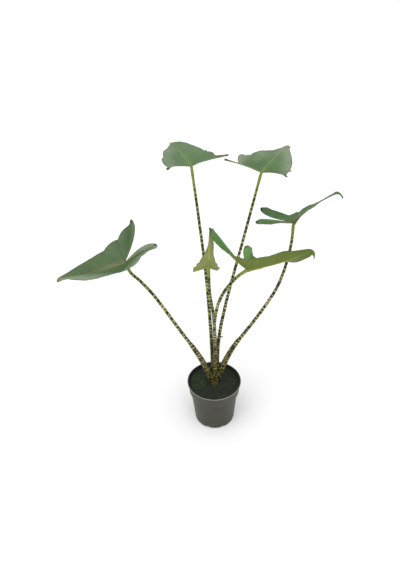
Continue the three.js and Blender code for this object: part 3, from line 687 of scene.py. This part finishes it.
def build_sheaths(material):
    """The six sheaths as one piece."""
    tubes = [sheath_tube(number, leaf) for number, leaf in enumerate(LEAVES.values())]
    grids, rods, bands = zip(*tubes)
    points, faces, _, first = joined(grids)
    values = {"rod": np.concatenate(rods)[first], "bands": np.concatenate(bands)[first]}
    seat(piece("sheaths", points, faces, [material], values=values), "stalk", "crown")


def build_corm(material):
    """The corm: a turned knob whose points shift sideways by a sine of their place, apart from its poles."""
    corners = [(radius, height + CORM_FOOT) for radius, height in CORM_PROFILE]
    points, faces, _, _ = joined([turned(rounded(corners, CORM_ROUND, EDGE_STEPS), CORM_SIDES)])
    off_axis = np.linalg.norm(points[:, :2], axis=1, keepdims=True) > 1
    wobble = CORM_WOBBLE * np.sin(points[:, :1] * CORM_WAVES[0] + points[:, 2:] * CORM_WAVES[1])
    points = points + wobble * np.array([1, 1, 0]) * off_axis
    seat(piece("corm", points, faces, [material]), "stalk", "crown")


def build_sheath_tip(material):
    """The dried end of a sheath: a short stub that leans out of the stalk, a little more as it goes, and
    narrows to a blunt end."""
    route = route_of(LEAVES["back_right"])
    foot = route[np.argmin(abs(route[:, 2] - SHEATH_TIP["height"]))]
    foot = foot + np.array([SHEATH_TIP["right"], -SHEATH_TIP["forward"], 0])
    t = np.linspace(0, 1, SHEATH_TIP["rings"])
    lean = np.radians(SHEATH_TIP["lean"] * (0.85 + 0.3 * t))
    middles = foot + SHEATH_TIP["length"] * (t * np.array([np.sin(lean), 0 * t, np.cos(lean)])).T
    radii = SHEATH_TIP["radius"] * (1 - 0.5 * t) * np.sqrt(1 - 0.97 * t**8)
    rings, _ = tube(middles, radii, SHEATH_TIP["sides"])
    points, faces, _, _ = joined([capped(rings, middles)])
    seat(piece("sheath_tip", points, faces, [material]), "stalk")


# Blades

def rib(shares, length, heading, turn, rise, bend, hook, hook_from):
    """A rib from the blade's foot: its direction's heading and rise change evenly along it, with a hook near
    its end, and its points are the running sum of the directions."""
    def angles(share):
        return heading + turn * share, rise + bend * share + hook * smoothstep(share, hook_from, 1)
    steps = direction(*angles((np.arange(RIB_STEPS) + 0.5) / RIB_STEPS)) * length / RIB_STEPS
    points = np.concatenate([np.zeros((1, 3)), np.cumsum(steps, 0)])
    places = np.linspace(0, 1, RIB_STEPS + 1)
    found = np.stack([np.interp(shares, places, points[:, k]) for k in range(3)], -1)
    return found, *angles(shares)


def quarter_round(distance, radius):
    """A quarter of a circle: 0 at no distance, 1 from the radius on."""
    return np.sqrt(1 - (1 - np.clip(distance / radius, 0, 1)) ** 2)


def blended(broad, tail):
    """The broad part of a blade running over into its narrow tail: the fourth root of the sum of fourth
    powers."""
    return (broad**BLEND_POWER + tail**BLEND_POWER) ** (1 / BLEND_POWER)


def half_widths(lobe, station, thread):
    """The greatest half width times a sine to a power in front of the widest place, and times a cosine to a
    power behind it. Each mark adds a bell curve, and up to the thread's station the tip thins out by a smooth
    step."""
    front = np.sin(np.pi / 2 * np.clip(station / WIDEST, 0, 1)) ** lobe["front"]
    back = np.cos(np.pi / 2 * np.clip((station - WIDEST) / (lobe["broad_to"] - WIDEST), 0, 1)) ** lobe["back"]
    at_tip, at_end = lobe["tail"]
    tail = at_tip * quarter_round(station, TAIL_ROUND) * (1 - smoothstep(station, *TIP_TAIL_FADES))
    end = at_end * quarter_round(BLADE_END - station, TAIL_ROUND) * smoothstep(station, *END_TAIL_GROWS)
    tail = tail + end
    found = blended(lobe["width"] * front * back, tail)
    for place, height, reach in lobe["marks"]:
        found = found + height * np.exp(-(((station - place) / reach) ** 2))
    return closed(found * smoothstep(station, 0, thread) if thread else found)


def inner_widths(lobe, share):
    """Inside the lobe: an arch, the sine of a half turn to a power, that runs over into the lobe's tail."""
    arch = lobe["inner"] * np.maximum(np.sin(np.pi * share**INNER_SKEW), 0) ** INNER_FULLNESS
    tail = lobe["tail"][1] * quarter_round(1 - share, TAIL_ROUND) * smoothstep(share, *INNER_TAIL_GROWS)
    return closed(blended(arch, tail))


def closed(widths):
    """Half widths that are nowhere thinner than the least one, apart from the two ends, which are points."""
    widths = np.maximum(widths, LEAST_HALF)
    widths[[0, -1]] = 0
    return widths


def wear(lobe, station):
    """Three shares by smooth steps: 1 in a tail behind the end of the broad part, 1 at the side's dry ends,
    and 1 where the skin near the tip is yellowed."""
    start = lobe["broad_to"]
    in_tail = smoothstep(station, *(start + step for step in TAIL_SPAN)) * (start < BLADE_END)
    dried = np.maximum(1 - smoothstep(station, *DRY_TIP),
                       smoothstep(station, *(BLADE_END + step for step in DRY_END)))
    return np.stack([in_tail, dried, 1 - smoothstep(station, *YELLOW_TIP)], -1)


def rib_depth(share):
    """How far a rib stands out below the sheet: it shrinks evenly along the rib and fades at its end."""
    return (RIB_DEPTH + (RIB_END_DEPTH - RIB_DEPTH) * share) * (1 - smoothstep(share, *RIB_FADES))


def sheet_of(points, stations, share, reach, halves, depth, lobe, painted_sheen):
    """A sheet's points, and at each of them the station, the share of the half width, the distances from the
    rib and from the margin, the depth of the rib below, the painted sheen's share and the wear."""
    return {"points": points, "station": stations[:, None] + 0 * reach, "share": share + 0 * reach,
            "from_rib": reach, "from_edge": halves[:, None] - reach, "depth": depth[:, None] + 0 * reach,
            "painted_sheen": painted_sheen + 0 * reach, "wear": wear(lobe, stations)[:, None] + 0 * points}


def row_directions(lobe, sign, midrib, costa):
    """Each row's outward and upward directions. In front the rows lean towards the tip, round the foot they
    fan out, and along the lobe's rib they splay from it and rise with it. The lift tilts each row up."""
    (_, heading, rise), (_, lobe_heading, lobe_rise) = midrib, costa
    lifts = through(outer_stations, LIFT_STATIONS, lobe["lift"])
    front = len(tip_to_foot)
    lean, lift = np.radians(FRONT_LEAN), np.radians(lifts[:front])[:, None]
    forward, across = direction(heading, rise), direction(heading + 90, 0)
    normal = np.cross(forward, across)
    flat = sign * np.cos(lean) * across + np.sin(lean) * forward
    outward = np.cos(lift) * flat + np.sin(lift) * normal
    upward = np.cos(lift) * normal - np.sin(lift) * flat
    front_angle = 90 - FRONT_LEAN
    fan_angle = lobe["spread"] - LOBE_SPLAY - front_angle
    base_share = fan_angle / (lobe["spread"] - front_angle)
    fan_heading = sign * (front_angle + fan_angle * across_fan)
    fan_rise = lobe["rise"] * base_share * across_fan
    heading = np.concatenate([fan_heading, lobe_heading - sign * LOBE_SPLAY])
    rise = np.concatenate([fan_rise, lobe_rise * base_share]) + lifts[front:]
    return (np.concatenate([outward, direction(heading, rise)]),
            np.concatenate([upward, direction(heading, rise + 90)]))


def waves(leaf, sign, share, halves):
    """How far the sheet moves off its rows: a wave that grows with the cube of the share, fine ripples at the
    margin, and a puff between the side veins."""
    wave = leaf["wave"] * np.sin(2 * np.pi * WAVE_TURNS * outer_stations / BLADE_END + sign)
    (coarse, coarse_turns), (fine, fine_turns) = RIPPLES
    ripple = coarse * np.sin(2 * np.pi * coarse_turns * outer_stations / BLADE_END + 2 * sign)
    ripple = ripple + fine * np.sin(2 * np.pi * fine_turns * outer_stations / BLADE_END)
    calm = smoothstep(halves, 0, RIPPLES_FULL_FROM)
    phase = (outer_stations[:, None] + VEIN_SWEEP * share**2) * SIDE_VEINS
    puff = PUFF * np.sin(np.pi * phase) ** 2 * (4 * share * (1 - share)) ** 0.7 * calm[:, None]
    off = wave[:, None] * share**3 + (ripple * calm)[:, None] * share**5 + puff
    off[[0, -1]] = 0
    return off


def outer_sheet(leaf, lobe, sign, midrib, costa, painted_sheen):
    """Rows of points run from the midrib, then from the foot, then from the lobe's rib to the margin. A point
    is the rib's point plus its share of the half width along the row's direction, plus the waves."""
    halves = half_widths(lobe, outer_stations, leaf["thread"])
    outward, upward = row_directions(lobe, sign, midrib, costa)
    start = np.concatenate([midrib[0], np.zeros((len(across_fan), 3)), costa[0]])
    depth = rib_depth(np.concatenate([tip_to_foot, 0 * across_fan, along_lobe]))
    share = np.linspace(0, 1, COLUMNS + 1) ** CROWDED_TO_RIB
    reach = halves[:, None] * share
    off = waves(leaf, sign, share, halves)
    points = start[:, None] + reach[..., None] * outward[:, None] + off[..., None] * upward[:, None]
    return sheet_of(points, outer_stations, share, reach, halves, depth, lobe, painted_sheen)


def inner_strip(lobe, sign, costa, painted_sheen):
    """The strip inside the lobe's rib: straight rows from the rib to the lobe's inner margin."""
    middle, heading, rise = costa
    inner = inner_widths(lobe, along_lobe)
    inward = direction(heading + sign * LOBE_SPLAY, rise + lobe["inner_lift"])
    share = np.linspace(0, 1, INNER_COLUMNS + 1) ** INNER_CROWDED
    reach = inner[:, None] * share
    points = middle[:, None] + reach[..., None] * inward[:, None]
    return sheet_of(points, lobe_stations, share, reach, inner, rib_depth(along_lobe), lobe, painted_sheen)


def sheets(leaf, painted_sheens):
    """A blade's four sheets in its own axes, all with the same side up."""
    found = []
    length, turn, bend, hook = leaf["midrib"]
    midrib = rib(tip_to_foot, length, 0, turn, 0, bend, hook, MIDRIB_HOOK_FROM)
    for name, sign, painted_sheen in (("left", 1, painted_sheens[0]), ("right", -1, painted_sheens[1])):
        lobe = leaf[name]
        costa = rib(along_lobe, lobe["length"], sign * lobe["spread"], sign * lobe["turn"], lobe["rise"],
                    lobe["bend"], lobe["hook"], LOBE_HOOK_FROM)
        outer = outer_sheet(leaf, lobe, sign, midrib, costa, painted_sheen)
        strip = inner_strip(lobe, sign, costa, painted_sheen)
        if sign > 0:
            strip = {key: grid[:, ::-1] for key, grid in strip.items()}
        else:
            outer = {key: grid[:, ::-1] for key, grid in outer.items()}
        found += [outer, strip]
    return found


def build_blade(name, leaf, upper, under, painted_sheens):
    """The blade: its sheets are joined, and each point moves half the thickness along its normal to both
    sides, but not out of the CAD's box. The underside also moves down by the rib's depth times a bell curve
    of the distance from the rib, and the upper side sinks a little there. A wall closes the margin."""
    found = sheets(leaf, painted_sheens)
    points, faces, corners, first = joined([sheet["points"] for sheet in found])
    station, share, from_rib, from_edge, depth, painted_sheen = (
        np.concatenate([sheet[key].ravel() for sheet in found])
        for key in ("station", "share", "from_rib", "from_edge", "depth", "painted_sheen"))
    worn = np.concatenate([sheet["wear"].reshape(-1, 3) for sheet in found])[first]
    # Each point's share of the painted sheen, a pale painted reflection
    sheen_by_point = painted_sheen[first, None] * np.array([1, 0, 0])
    points = points @ leaf_axes(leaf) + np.array(leaf["at"])
    normals = point_normals(points, faces)
    near = np.exp(-((from_rib[first] / RIB_WIDTH) ** 2))
    thicker = smoothstep(from_edge[first], 0, FULL_THICKNESS_FROM)
    half = EDGE_THICKNESS / 2 + (BLADE_THICKNESS - EDGE_THICKNESS) / 2 * thicker
    top = points + (half - RIB_GROOVE * near)[:, None] * normals
    bottom = points - (half + depth[first] * near)[:, None] * normals
    skin = np.clip(np.concatenate([top, bottom]), np.array(CAD_LOW) / MM, np.array(CAD_HIGH) / MM)
    count = len(points)
    rim, rim_corners = open_sides(faces, corners, count)
    walls = np.concatenate([np.stack([rim[:, 0], rim[:, 1] + count, rim[:, 1]], 1),
                            np.stack([rim[:, 0], rim[:, 0] + count, rim[:, 1] + count], 1)])
    wall_corners = np.concatenate([rim_corners[:, [0, 1, 1]], rim_corners[:, [0, 0, 1]]])
    all_faces = np.concatenate([faces, faces[:, ::-1] + count, walls])
    all_corners = np.concatenate([corners, corners[:, ::-1], wall_corners]).ravel()
    kinds = np.repeat([0, 1, 0], [len(faces), len(faces), len(walls)])
    maps = {"veins": np.stack([station[all_corners], share[all_corners]], -1),
            "spans": np.stack([from_rib[all_corners], from_edge[all_corners]], -1)}
    values = {"wear": np.concatenate([worn, worn]), "painted_sheen": np.concatenate([sheen_by_point, sheen_by_point])}
    made = piece("blade_skin_" + name, skin, all_faces, [upper, under], kinds, maps, values,
                 np.concatenate([rim, rim + count]))
    return seat(made, "young_blade" if name == "young" else "blade", "blade_" + name)


# Pot and soil

def rounded(corners, radius, steps):
    """A profile whose corners are cut back by the radius, or by under half of a short side, and replaced by a
    curve that starts and ends along the two sides: the squares of 1 - t and t weigh its ends, twice t times
    1 - t weighs the corner."""
    most = 0.45
    corners = np.array(corners, float)
    found = [corners[:1]]
    for before, corner, after in zip(corners[:-2], corners[1:-1], corners[2:]):
        back, on = before - corner, after - corner
        back_length, on_length = np.linalg.norm(back), np.linalg.norm(on)
        cut = min(radius, most * back_length, most * on_length)
        start, end = corner + back / back_length * cut, corner + on / on_length * cut
        t = np.linspace(0, 1, steps)[:, None]
        found.append((1 - t) ** 2 * start + 2 * t * (1 - t) * corner + t**2 * end)
    return np.concatenate(found + [corners[-1:]])


def turned(profile, sides):
    """A profile of radius and height turned about Z: (radius cos angle, radius sin angle, height)."""
    profile = np.array(profile, float)
    angle, cosine, sine = circle(sides)
    return np.stack([profile[:, :1] * cosine, profile[:, :1] * sine, profile[:, 1:] + 0 * angle], -1)


def wall_radius(height):
    """The tapered wall's outside, without the collar's step."""
    return FOOT_RADIUS + draft * height


def inner_radius(height):
    """The pot's inside, which steps out behind the collar."""
    return wall_radius(height) + (COLLAR_STEP if height > collar_foot + WALL else 0) - WALL


def pot_profile():
    """The pot's corners as radius and height, up the outside and down the inside."""
    return [(0, 0), (FOOT_RADIUS - FOOT_ROUND, 0), (wall_radius(FOOT_ROUND), FOOT_ROUND),
            (wall_radius(collar_foot - COLLAR_BEND), collar_foot - COLLAR_BEND),
            (wall_radius(collar_foot), collar_foot),
            (wall_radius(collar_foot) + COLLAR_STEP, collar_foot + COLLAR_EDGE),
            (wall_radius(POT_HEIGHT - LIP_HEIGHT) + COLLAR_STEP, POT_HEIGHT - LIP_HEIGHT),
            (RIM_RADIUS, POT_HEIGHT - LIP_HEIGHT + LIP_ROUND), (RIM_RADIUS, POT_HEIGHT - LIP_ROUND),
            (RIM_RADIUS - LIP_ROUND, POT_HEIGHT), (inner_radius(POT_HEIGHT), POT_HEIGHT),
            (inner_radius(collar_foot + INNER_STEP), collar_foot + INNER_STEP),
            (inner_radius(collar_foot), collar_foot), (inner_radius(FLOOR), FLOOR), (0, FLOOR)]


def drain_boxes():
    """A box for each drain notch, turned to its place round the foot."""
    angle = ((np.arange(DRAIN_COUNT) + 0.5) / DRAIN_COUNT * 2 * np.pi)[:, None]
    heights = (-CUTTER_BELOW, DRAIN_HEIGHT)
    corner = np.array([[x, y, z] for z in heights for y in (-0.5, 0.5) for x in (0, 1)], float)
    corner = corner * [DRAIN_REACH, DRAIN_WIDTH, 1] + [FOOT_RADIUS + CUTTER_OUT - DRAIN_REACH, 0, 0]
    x = corner[:, 0] * np.cos(angle) - corner[:, 1] * np.sin(angle)
    y = corner[:, 0] * np.sin(angle) + corner[:, 1] * np.cos(angle)
    box = np.array([[0, 2, 3], [0, 3, 1], [4, 5, 7], [4, 7, 6], [0, 1, 5], [0, 5, 4],
                    [2, 6, 7], [2, 7, 3], [0, 4, 6], [0, 6, 2], [1, 3, 7], [1, 7, 5]])
    faces = box + np.arange(DRAIN_COUNT)[:, None, None] * len(corner)
    return np.stack([x, y, corner[:, 2] + 0 * x], -1).reshape(-1, 3), faces.reshape(-1, 3)


def cut_away(made, cutter):
    """Cuts one piece out of the other for good, and removes it."""
    cut = made.modifiers.new("drains", "BOOLEAN")
    cut.object, cut.operation, cut.solver = cutter, "DIFFERENCE", "EXACT"
    shape = bpy.data.meshes.new_from_object(made.evaluated_get(bpy.context.evaluated_depsgraph_get()))
    made.modifiers.clear()
    made.data = shape
    bpy.data.objects.remove(cutter)


def pot_kinds(mesh):
    """The pot's material by face: 2 for the painted highlight on the lip's outer rounding, 1 inside, 0
    elsewhere.
    """
    centre = np.zeros(len(mesh.polygons) * 3, np.float32)
    mesh.polygons.foreach_get("center", centre)
    x, y, height = centre.reshape(-1, 3).T / MM
    radius, step = np.hypot(x, y), np.where(height > collar_foot + WALL, COLLAR_STEP, 0)
    # The inner wall, which is given darker tones as painted shade
    inside = (height > FLOOR - NEAR) & (radius < wall_radius(height) + step - INSIDE_FROM * WALL)
    # The lip's outer rounding, which is given a pale painted highlight
    worn = (height > POT_HEIGHT - LIP_HIGHLIGHT_DEPTH) & (radius > RIM_RADIUS - LIP_ROUND)
    return np.where(worn, 2, np.where(inside, 1, 0)).astype(np.int32)


def build_pot(outside, inside, lip):
    """The pot: a rounded profile turned about Z, with drain notches cut through the foot's edge. The lip's
    outer rounding has a pale painted highlight, and the inner wall has darker tones as painted shade."""
    points, faces, _, _ = joined([turned(rounded(pot_profile(), EDGE_ROUND, EDGE_STEPS), POT_SIDES)])
    made = piece("pot_shell", points, faces, [outside, inside, lip])
    cut_away(made, piece("drain_cutter", *drain_boxes(), [outside]))
    made.data.polygons.foreach_set("material_index", pot_kinds(made.data))
    made.data.shade_smooth()
    made.data.set_sharp_from_angle(angle=np.radians(POT_SHARP))
    return seat(made, "pot", "pot")


def soil_height(x, y):
    """The soil's top: the broad relief of the solid, plus crumbs from crossed waves of growing frequency."""
    broad = np.sin(0.11 * x + 0.5) * np.cos(0.09 * y - 0.4)
    fine = np.sin(0.31 * x - 0.17 * y + 1) * np.sin(0.13 * x + 0.29 * y)
    crumbs = np.sin(1.1 * x + 0.7 * y) * np.sin(0.9 * y - 0.8 * x + 2)
    crumbs = crumbs + 0.6 * np.sin(2.3 * x - 1.7 * y) * np.sin(1.9 * y + x)
    return SOIL_TOP + SOIL_RELIEF * (broad + 0.6 * fine) + CRUMB_RELIEF * crumbs


def build_soil(material):
    """The soil plug: its top is a fine round grid whose height is the soil's relief, and its side follows the
    pot's inner wall."""
    profile = [(0, FLOOR + GAP), (inner_radius(FLOOR) - GAP, FLOOR + GAP),
               (inner_radius(collar_foot) - GAP, collar_foot),
               (inner_radius(collar_foot + INNER_STEP) - GAP, collar_foot + INNER_STEP)]
    profile += [((inner_radius(SOIL_TOP) - GAP) * share, SOIL_TOP) for share in np.linspace(1, 0, SOIL_RINGS)]
    grid = turned(profile, SOIL_SIDES)
    top = grid[:, :, 2] >= SOIL_TOP - NEAR
    grid[..., 2] = np.where(top, soil_height(grid[..., 0], grid[..., 1]), grid[..., 2])
    points, faces, _, _ = joined([grid])
    return seat(piece("soil_bed", points, faces, [material], sharp_angle=SOIL_SHARP), "soil", "soil")


def round_ball():
    """An eight-faced ball with each face split in four."""
    corner = np.array([[1, 0, 0], [0, 1, 0], [-1, 0, 0], [0, -1, 0], [0, 0, 1], [0, 0, -1]], float)
    face = np.array([[0, 1, 4], [1, 2, 4], [2, 3, 4], [3, 0, 4], [1, 0, 5], [2, 1, 5], [3, 2, 5], [0, 3, 5]])
    ends = np.unique(np.sort(sides_of(face), 1), axis=0)
    number = {tuple(end): len(corner) + k for k, end in enumerate(ends.tolist())}
    middle = corner[ends].sum(1)
    small = []
    for a, b, c in face.tolist():
        ab, bc, ca = (number[tuple(sorted(pair))] for pair in ((a, b), (b, c), (c, a)))
        small += [[a, ab, ca], [ab, b, bc], [ca, bc, c], [ab, bc, ca]]
    return np.concatenate([corner, middle / np.linalg.norm(middle, axis=1, keepdims=True)]), np.array(small)


def scattered(places, sizes, seed, uneven=0.28, flatten=0.7):
    """Small lumps: balls whose points move in and out at random, flattened, turned at random about Z and set
    at the places."""
    ball, small = round_ball()
    chance = np.random.default_rng(seed)
    lumps = ball[None] * (1 + chance.uniform(-uneven, uneven, (len(places), len(ball), 1)))
    lumps *= sizes[:, None, None] * np.array([1, 1, flatten])
    turn = chance.uniform(0, 2 * np.pi, len(places))[:, None]
    x = lumps[..., 0] * np.cos(turn) - lumps[..., 1] * np.sin(turn)
    y = lumps[..., 0] * np.sin(turn) + lumps[..., 1] * np.cos(turn)
    points = np.stack([x, y, lumps[..., 2]], -1) + places[:, None]
    faces = small[None] + np.arange(len(places))[:, None, None] * len(ball)
    return points.reshape(-1, 3), faces.reshape(-1, 3)


def round_places(count, low, high, seed):
    """Places spread evenly over the ring of soil between two radii, on its surface."""
    chance = np.random.default_rng(seed)
    angle, radius = chance.uniform(0, 2 * np.pi, count), np.sqrt(chance.uniform(low**2, high**2, count))
    x, y = radius * np.cos(angle), radius * np.sin(angle)
    return np.stack([x, y, soil_height(x, y)], -1)


def build_lumps(name, material, chance, count, from_radius, to_radius, sizes, seeds):
    """Loose lumps on the soil, of random sizes between two."""
    places = round_places(count, from_radius, to_radius, seeds[0])
    points, faces = scattered(places, chance.uniform(*sizes, count), seeds[1])
    return seat(piece(name, points, faces, [material]), "soil")


def moss_places(chance):
    """Places spread evenly over the moss's oval, on the soil."""
    angle, radius = chance.uniform(0, 2 * np.pi, MOSS_COUNT), np.sqrt(chance.uniform(0, 1, MOSS_COUNT))
    x = MOSS_CENTRE[0] + MOSS_REACH[0] * radius * np.cos(angle)
    y = MOSS_CENTRE[1] + MOSS_REACH[1] * radius * np.sin(angle)
    return np.stack([x, y, soil_height(x, y)], -1)


def build_moss(material, places, sizes, seed):
    """Moss shoots: thin three-sided spikes in small tufts, each leaning out at random."""
    chance = np.random.default_rng(seed)
    places, sizes = np.repeat(places, MOSS_TUFT, 0), np.repeat(sizes, MOSS_TUFT)
    count = len(places)
    lean, turn = chance.uniform(*MOSS_LEAN, count), chance.uniform(0, 2 * np.pi, count)
    tip = np.stack([np.sin(lean) * np.cos(turn), np.sin(lean) * np.sin(turn), np.cos(lean)], -1)
    angle = turn[:, None] + np.arange(3) * 2 * np.pi / 3
    ring = np.stack([np.cos(angle), np.sin(angle), 0 * angle], -1) * (MOSS_FOOT * sizes)[:, None, None]
    foot = places[:, None] + ring - [0, 0, MOSS_SUNK]
    points = np.concatenate([foot, places[:, None] + (tip * sizes[:, None])[:, None]], 1)
    face = np.array([[0, 1, 3], [1, 2, 3], [2, 0, 3], [0, 2, 1]])
    faces = (face + np.arange(count)[:, None, None] * points.shape[1]).reshape(-1, 3)
    return seat(piece("moss_shoots", points.reshape(-1, 3), faces, [material]), "soil")


# The plant

# The two greens of each blade's upper side
upper_tones = {
    "left": (paint(49, 77, 40), paint(80, 108, 64)),
    "back_left": (paint(70, 101, 60), paint(94, 126, 82)),
    "back_right": (paint(65, 95, 57), paint(90, 121, 80)),
    "young": (paint(82, 108, 44), paint(118, 138, 58)),
    "right": (paint(62, 97, 56), paint(92, 126, 78)),
    "front": (paint(64, 108, 50), paint(102, 144, 70)),
}
vein_tone, edge_tone = paint(158, 174, 112), paint(46, 52, 30)
# The painted sheen's shares left and right of the midrib, and the tone and share of the streaks at the foot
painted_sheens = {"left": (0.75, 0.1), "back_left": (0.45, 0.2), "back_right": (0.7, 0.7)}
feet = {"left": (paint(134, 124, 104), 0.6), "right": (paint(84, 104, 44), 0.95)}
under_blade = blade_finish("blade_underside", paint(80, 98, 26), paint(112, 128, 46), paint(142, 156, 66),
                           paint(76, 80, 30), rough=0.5, under=True)
under_dark = blade_finish("blade_underside_shaded", paint(68, 82, 32), paint(92, 104, 42),
                          paint(122, 134, 62), paint(62, 64, 30), rough=0.5, under=True)
young_under = blade_finish("young_underside", paint(120, 128, 62), paint(150, 156, 84), paint(176, 184, 104),
                           paint(112, 100, 60), rough=0.48, under=True)
unders = {"young": young_under, "left": under_dark, "right": under_dark}
zebra = stalk_finish("zebra_stalk", paint(20, 16, 4), paint(24, 21, 3), paint(172, 164, 84),
                     paint(196, 190, 122), paint(126, 138, 48))

build_pot(pot_finish("pot_plastic", paint(51, 52, 40), paint(61, 62, 50), paint(54, 55, 47)),
          # The inner wall's darker tones are painted shade in the hollow above the soil
          pot_finish("pot_inner_wall_painted_shade", paint(34, 38, 30), paint(46, 50, 40), paint(40, 42, 36)),
          # The lip's pale tones are a painted highlight on its outer rounding
          pot_finish("pot_lip_painted_highlight", paint(126, 126, 114), paint(150, 150, 138), paint(150, 150, 138)))
build_soil(soil_finish("potting_soil", paint(12, 20, 13), paint(37, 48, 33), fine=420,
                       green=paint(30, 58, 26)))
build_sheaths(zebra)
build_corm(dry_finish("corm_skin", paint(34, 30, 16), paint(86, 82, 40)))
build_sheath_tip(dry_finish("dry_sheath", paint(40, 32, 20), paint(92, 76, 48)))
for leaf_name, leaf in LEAVES.items():
    upper = blade_finish("blade_" + leaf_name, *upper_tones[leaf_name], vein_tone, edge_tone, rough=0.42,
                         foot=feet.get(leaf_name))
    build_stalk(leaf_name, leaf, zebra)
    build_blade(leaf_name, leaf, upper, unders.get(leaf_name, under_blade), painted_sheens.get(leaf_name, (0, 0)))

chance = np.random.default_rng(11)
build_lumps("soil_crumbs", soil_finish("dark_crumbs", paint(13, 18, 13), paint(48, 52, 40), fine=600),
            chance, count=520, from_radius=18, to_radius=76, sizes=(0.8, 2.6), seeds=(3, 5))
build_lumps("pale_grit", soil_finish("pale_grit", paint(74, 78, 64), paint(108, 110, 94), fine=500),
            chance, count=16, from_radius=24, to_radius=76, sizes=(0.9, 2.0), seeds=(8, 6))
build_moss(soil_finish("moss", paint(36, 62, 28), paint(104, 124, 60), fine=300), moss_places(chance),
           chance.uniform(*MOSS_SIZES, MOSS_COUNT), seed=9)

# Stage: a pale floor, soft light, and the camera at chest height, looking down

STAGE_REACH = 40000
CAMERA_PLACE, CAMERA_PITCH, CAMERA_ROLL, CAMERA_LENS = (-35, -1140, 1307), 34.5, -1.9, 31.58

floor_material, floor_tree = new_finish("pale_floor")
floor_values = {"Base Color": (0.93, 0.93, 0.93, 1), "Roughness": 0.9}
give(floor_tree, floor_tree.nodes["Principled BSDF"].inputs, floor_values)
floor_points = np.array([[-1, -1, 0], [1, -1, 0], [1, 1, 0], [-1, 1, 0]]) * STAGE_REACH
floor = piece("floor", floor_points, np.array([[0, 1, 2], [0, 2, 3]]), [floor_material])

world = bpy.data.worlds.new("studio")
bpy.context.scene.world = world
world.use_nodes = True
give(world.node_tree, world.node_tree.nodes["Background"].inputs, {"Color": (1, 1, 1, 1), "Strength": 0.66})


def soft_sun(name, azimuth, height, spread, strength):
    """Even light from a heading and a height above the floor, in degrees, softened over a spread of sky."""
    lamp = bpy.data.lights.new(name, "SUN")
    lamp.angle, lamp.energy = np.radians(spread), strength
    made = bpy.data.objects.new(name, lamp)
    made.rotation_euler = (np.radians(90 - height), 0, np.radians(azimuth))
    bpy.context.scene.collection.objects.link(made)


def aimed(place, pitch, roll):
    """A camera's matrix at a place in millimetres: it looks along Y, down by the pitch, and rolls about its
    aim."""
    pitch, roll = np.radians(pitch), np.radians(roll)
    ahead = np.array([0, np.cos(pitch), -np.sin(pitch)])
    level = np.array([1.0, 0, 0])
    upright = np.cross(level, ahead)
    right, up = level * np.cos(roll) + upright * np.sin(roll), upright * np.cos(roll) - level * np.sin(roll)
    turned_to = np.stack([right, up, -ahead, np.array(place) * MM], 1)
    return Matrix([*turned_to.tolist(), [0, 0, 0, 1]])


soft_sun("key", -25, 68, 60, 1.6)
soft_sun("fill", 50, 48, 70, 0.3)

camera = bpy.data.cameras.new("camera")
camera.sensor_width, camera.sensor_fit, camera.lens = 36, "AUTO", CAMERA_LENS
camera.clip_end = 200
view = bpy.data.objects.new("camera", camera)
view.matrix_world = aimed(CAMERA_PLACE, CAMERA_PITCH, CAMERA_ROLL)
bpy.context.scene.collection.objects.link(view)
bpy.context.scene.camera = view
bpy.context.scene.view_settings.view_transform = "Standard"
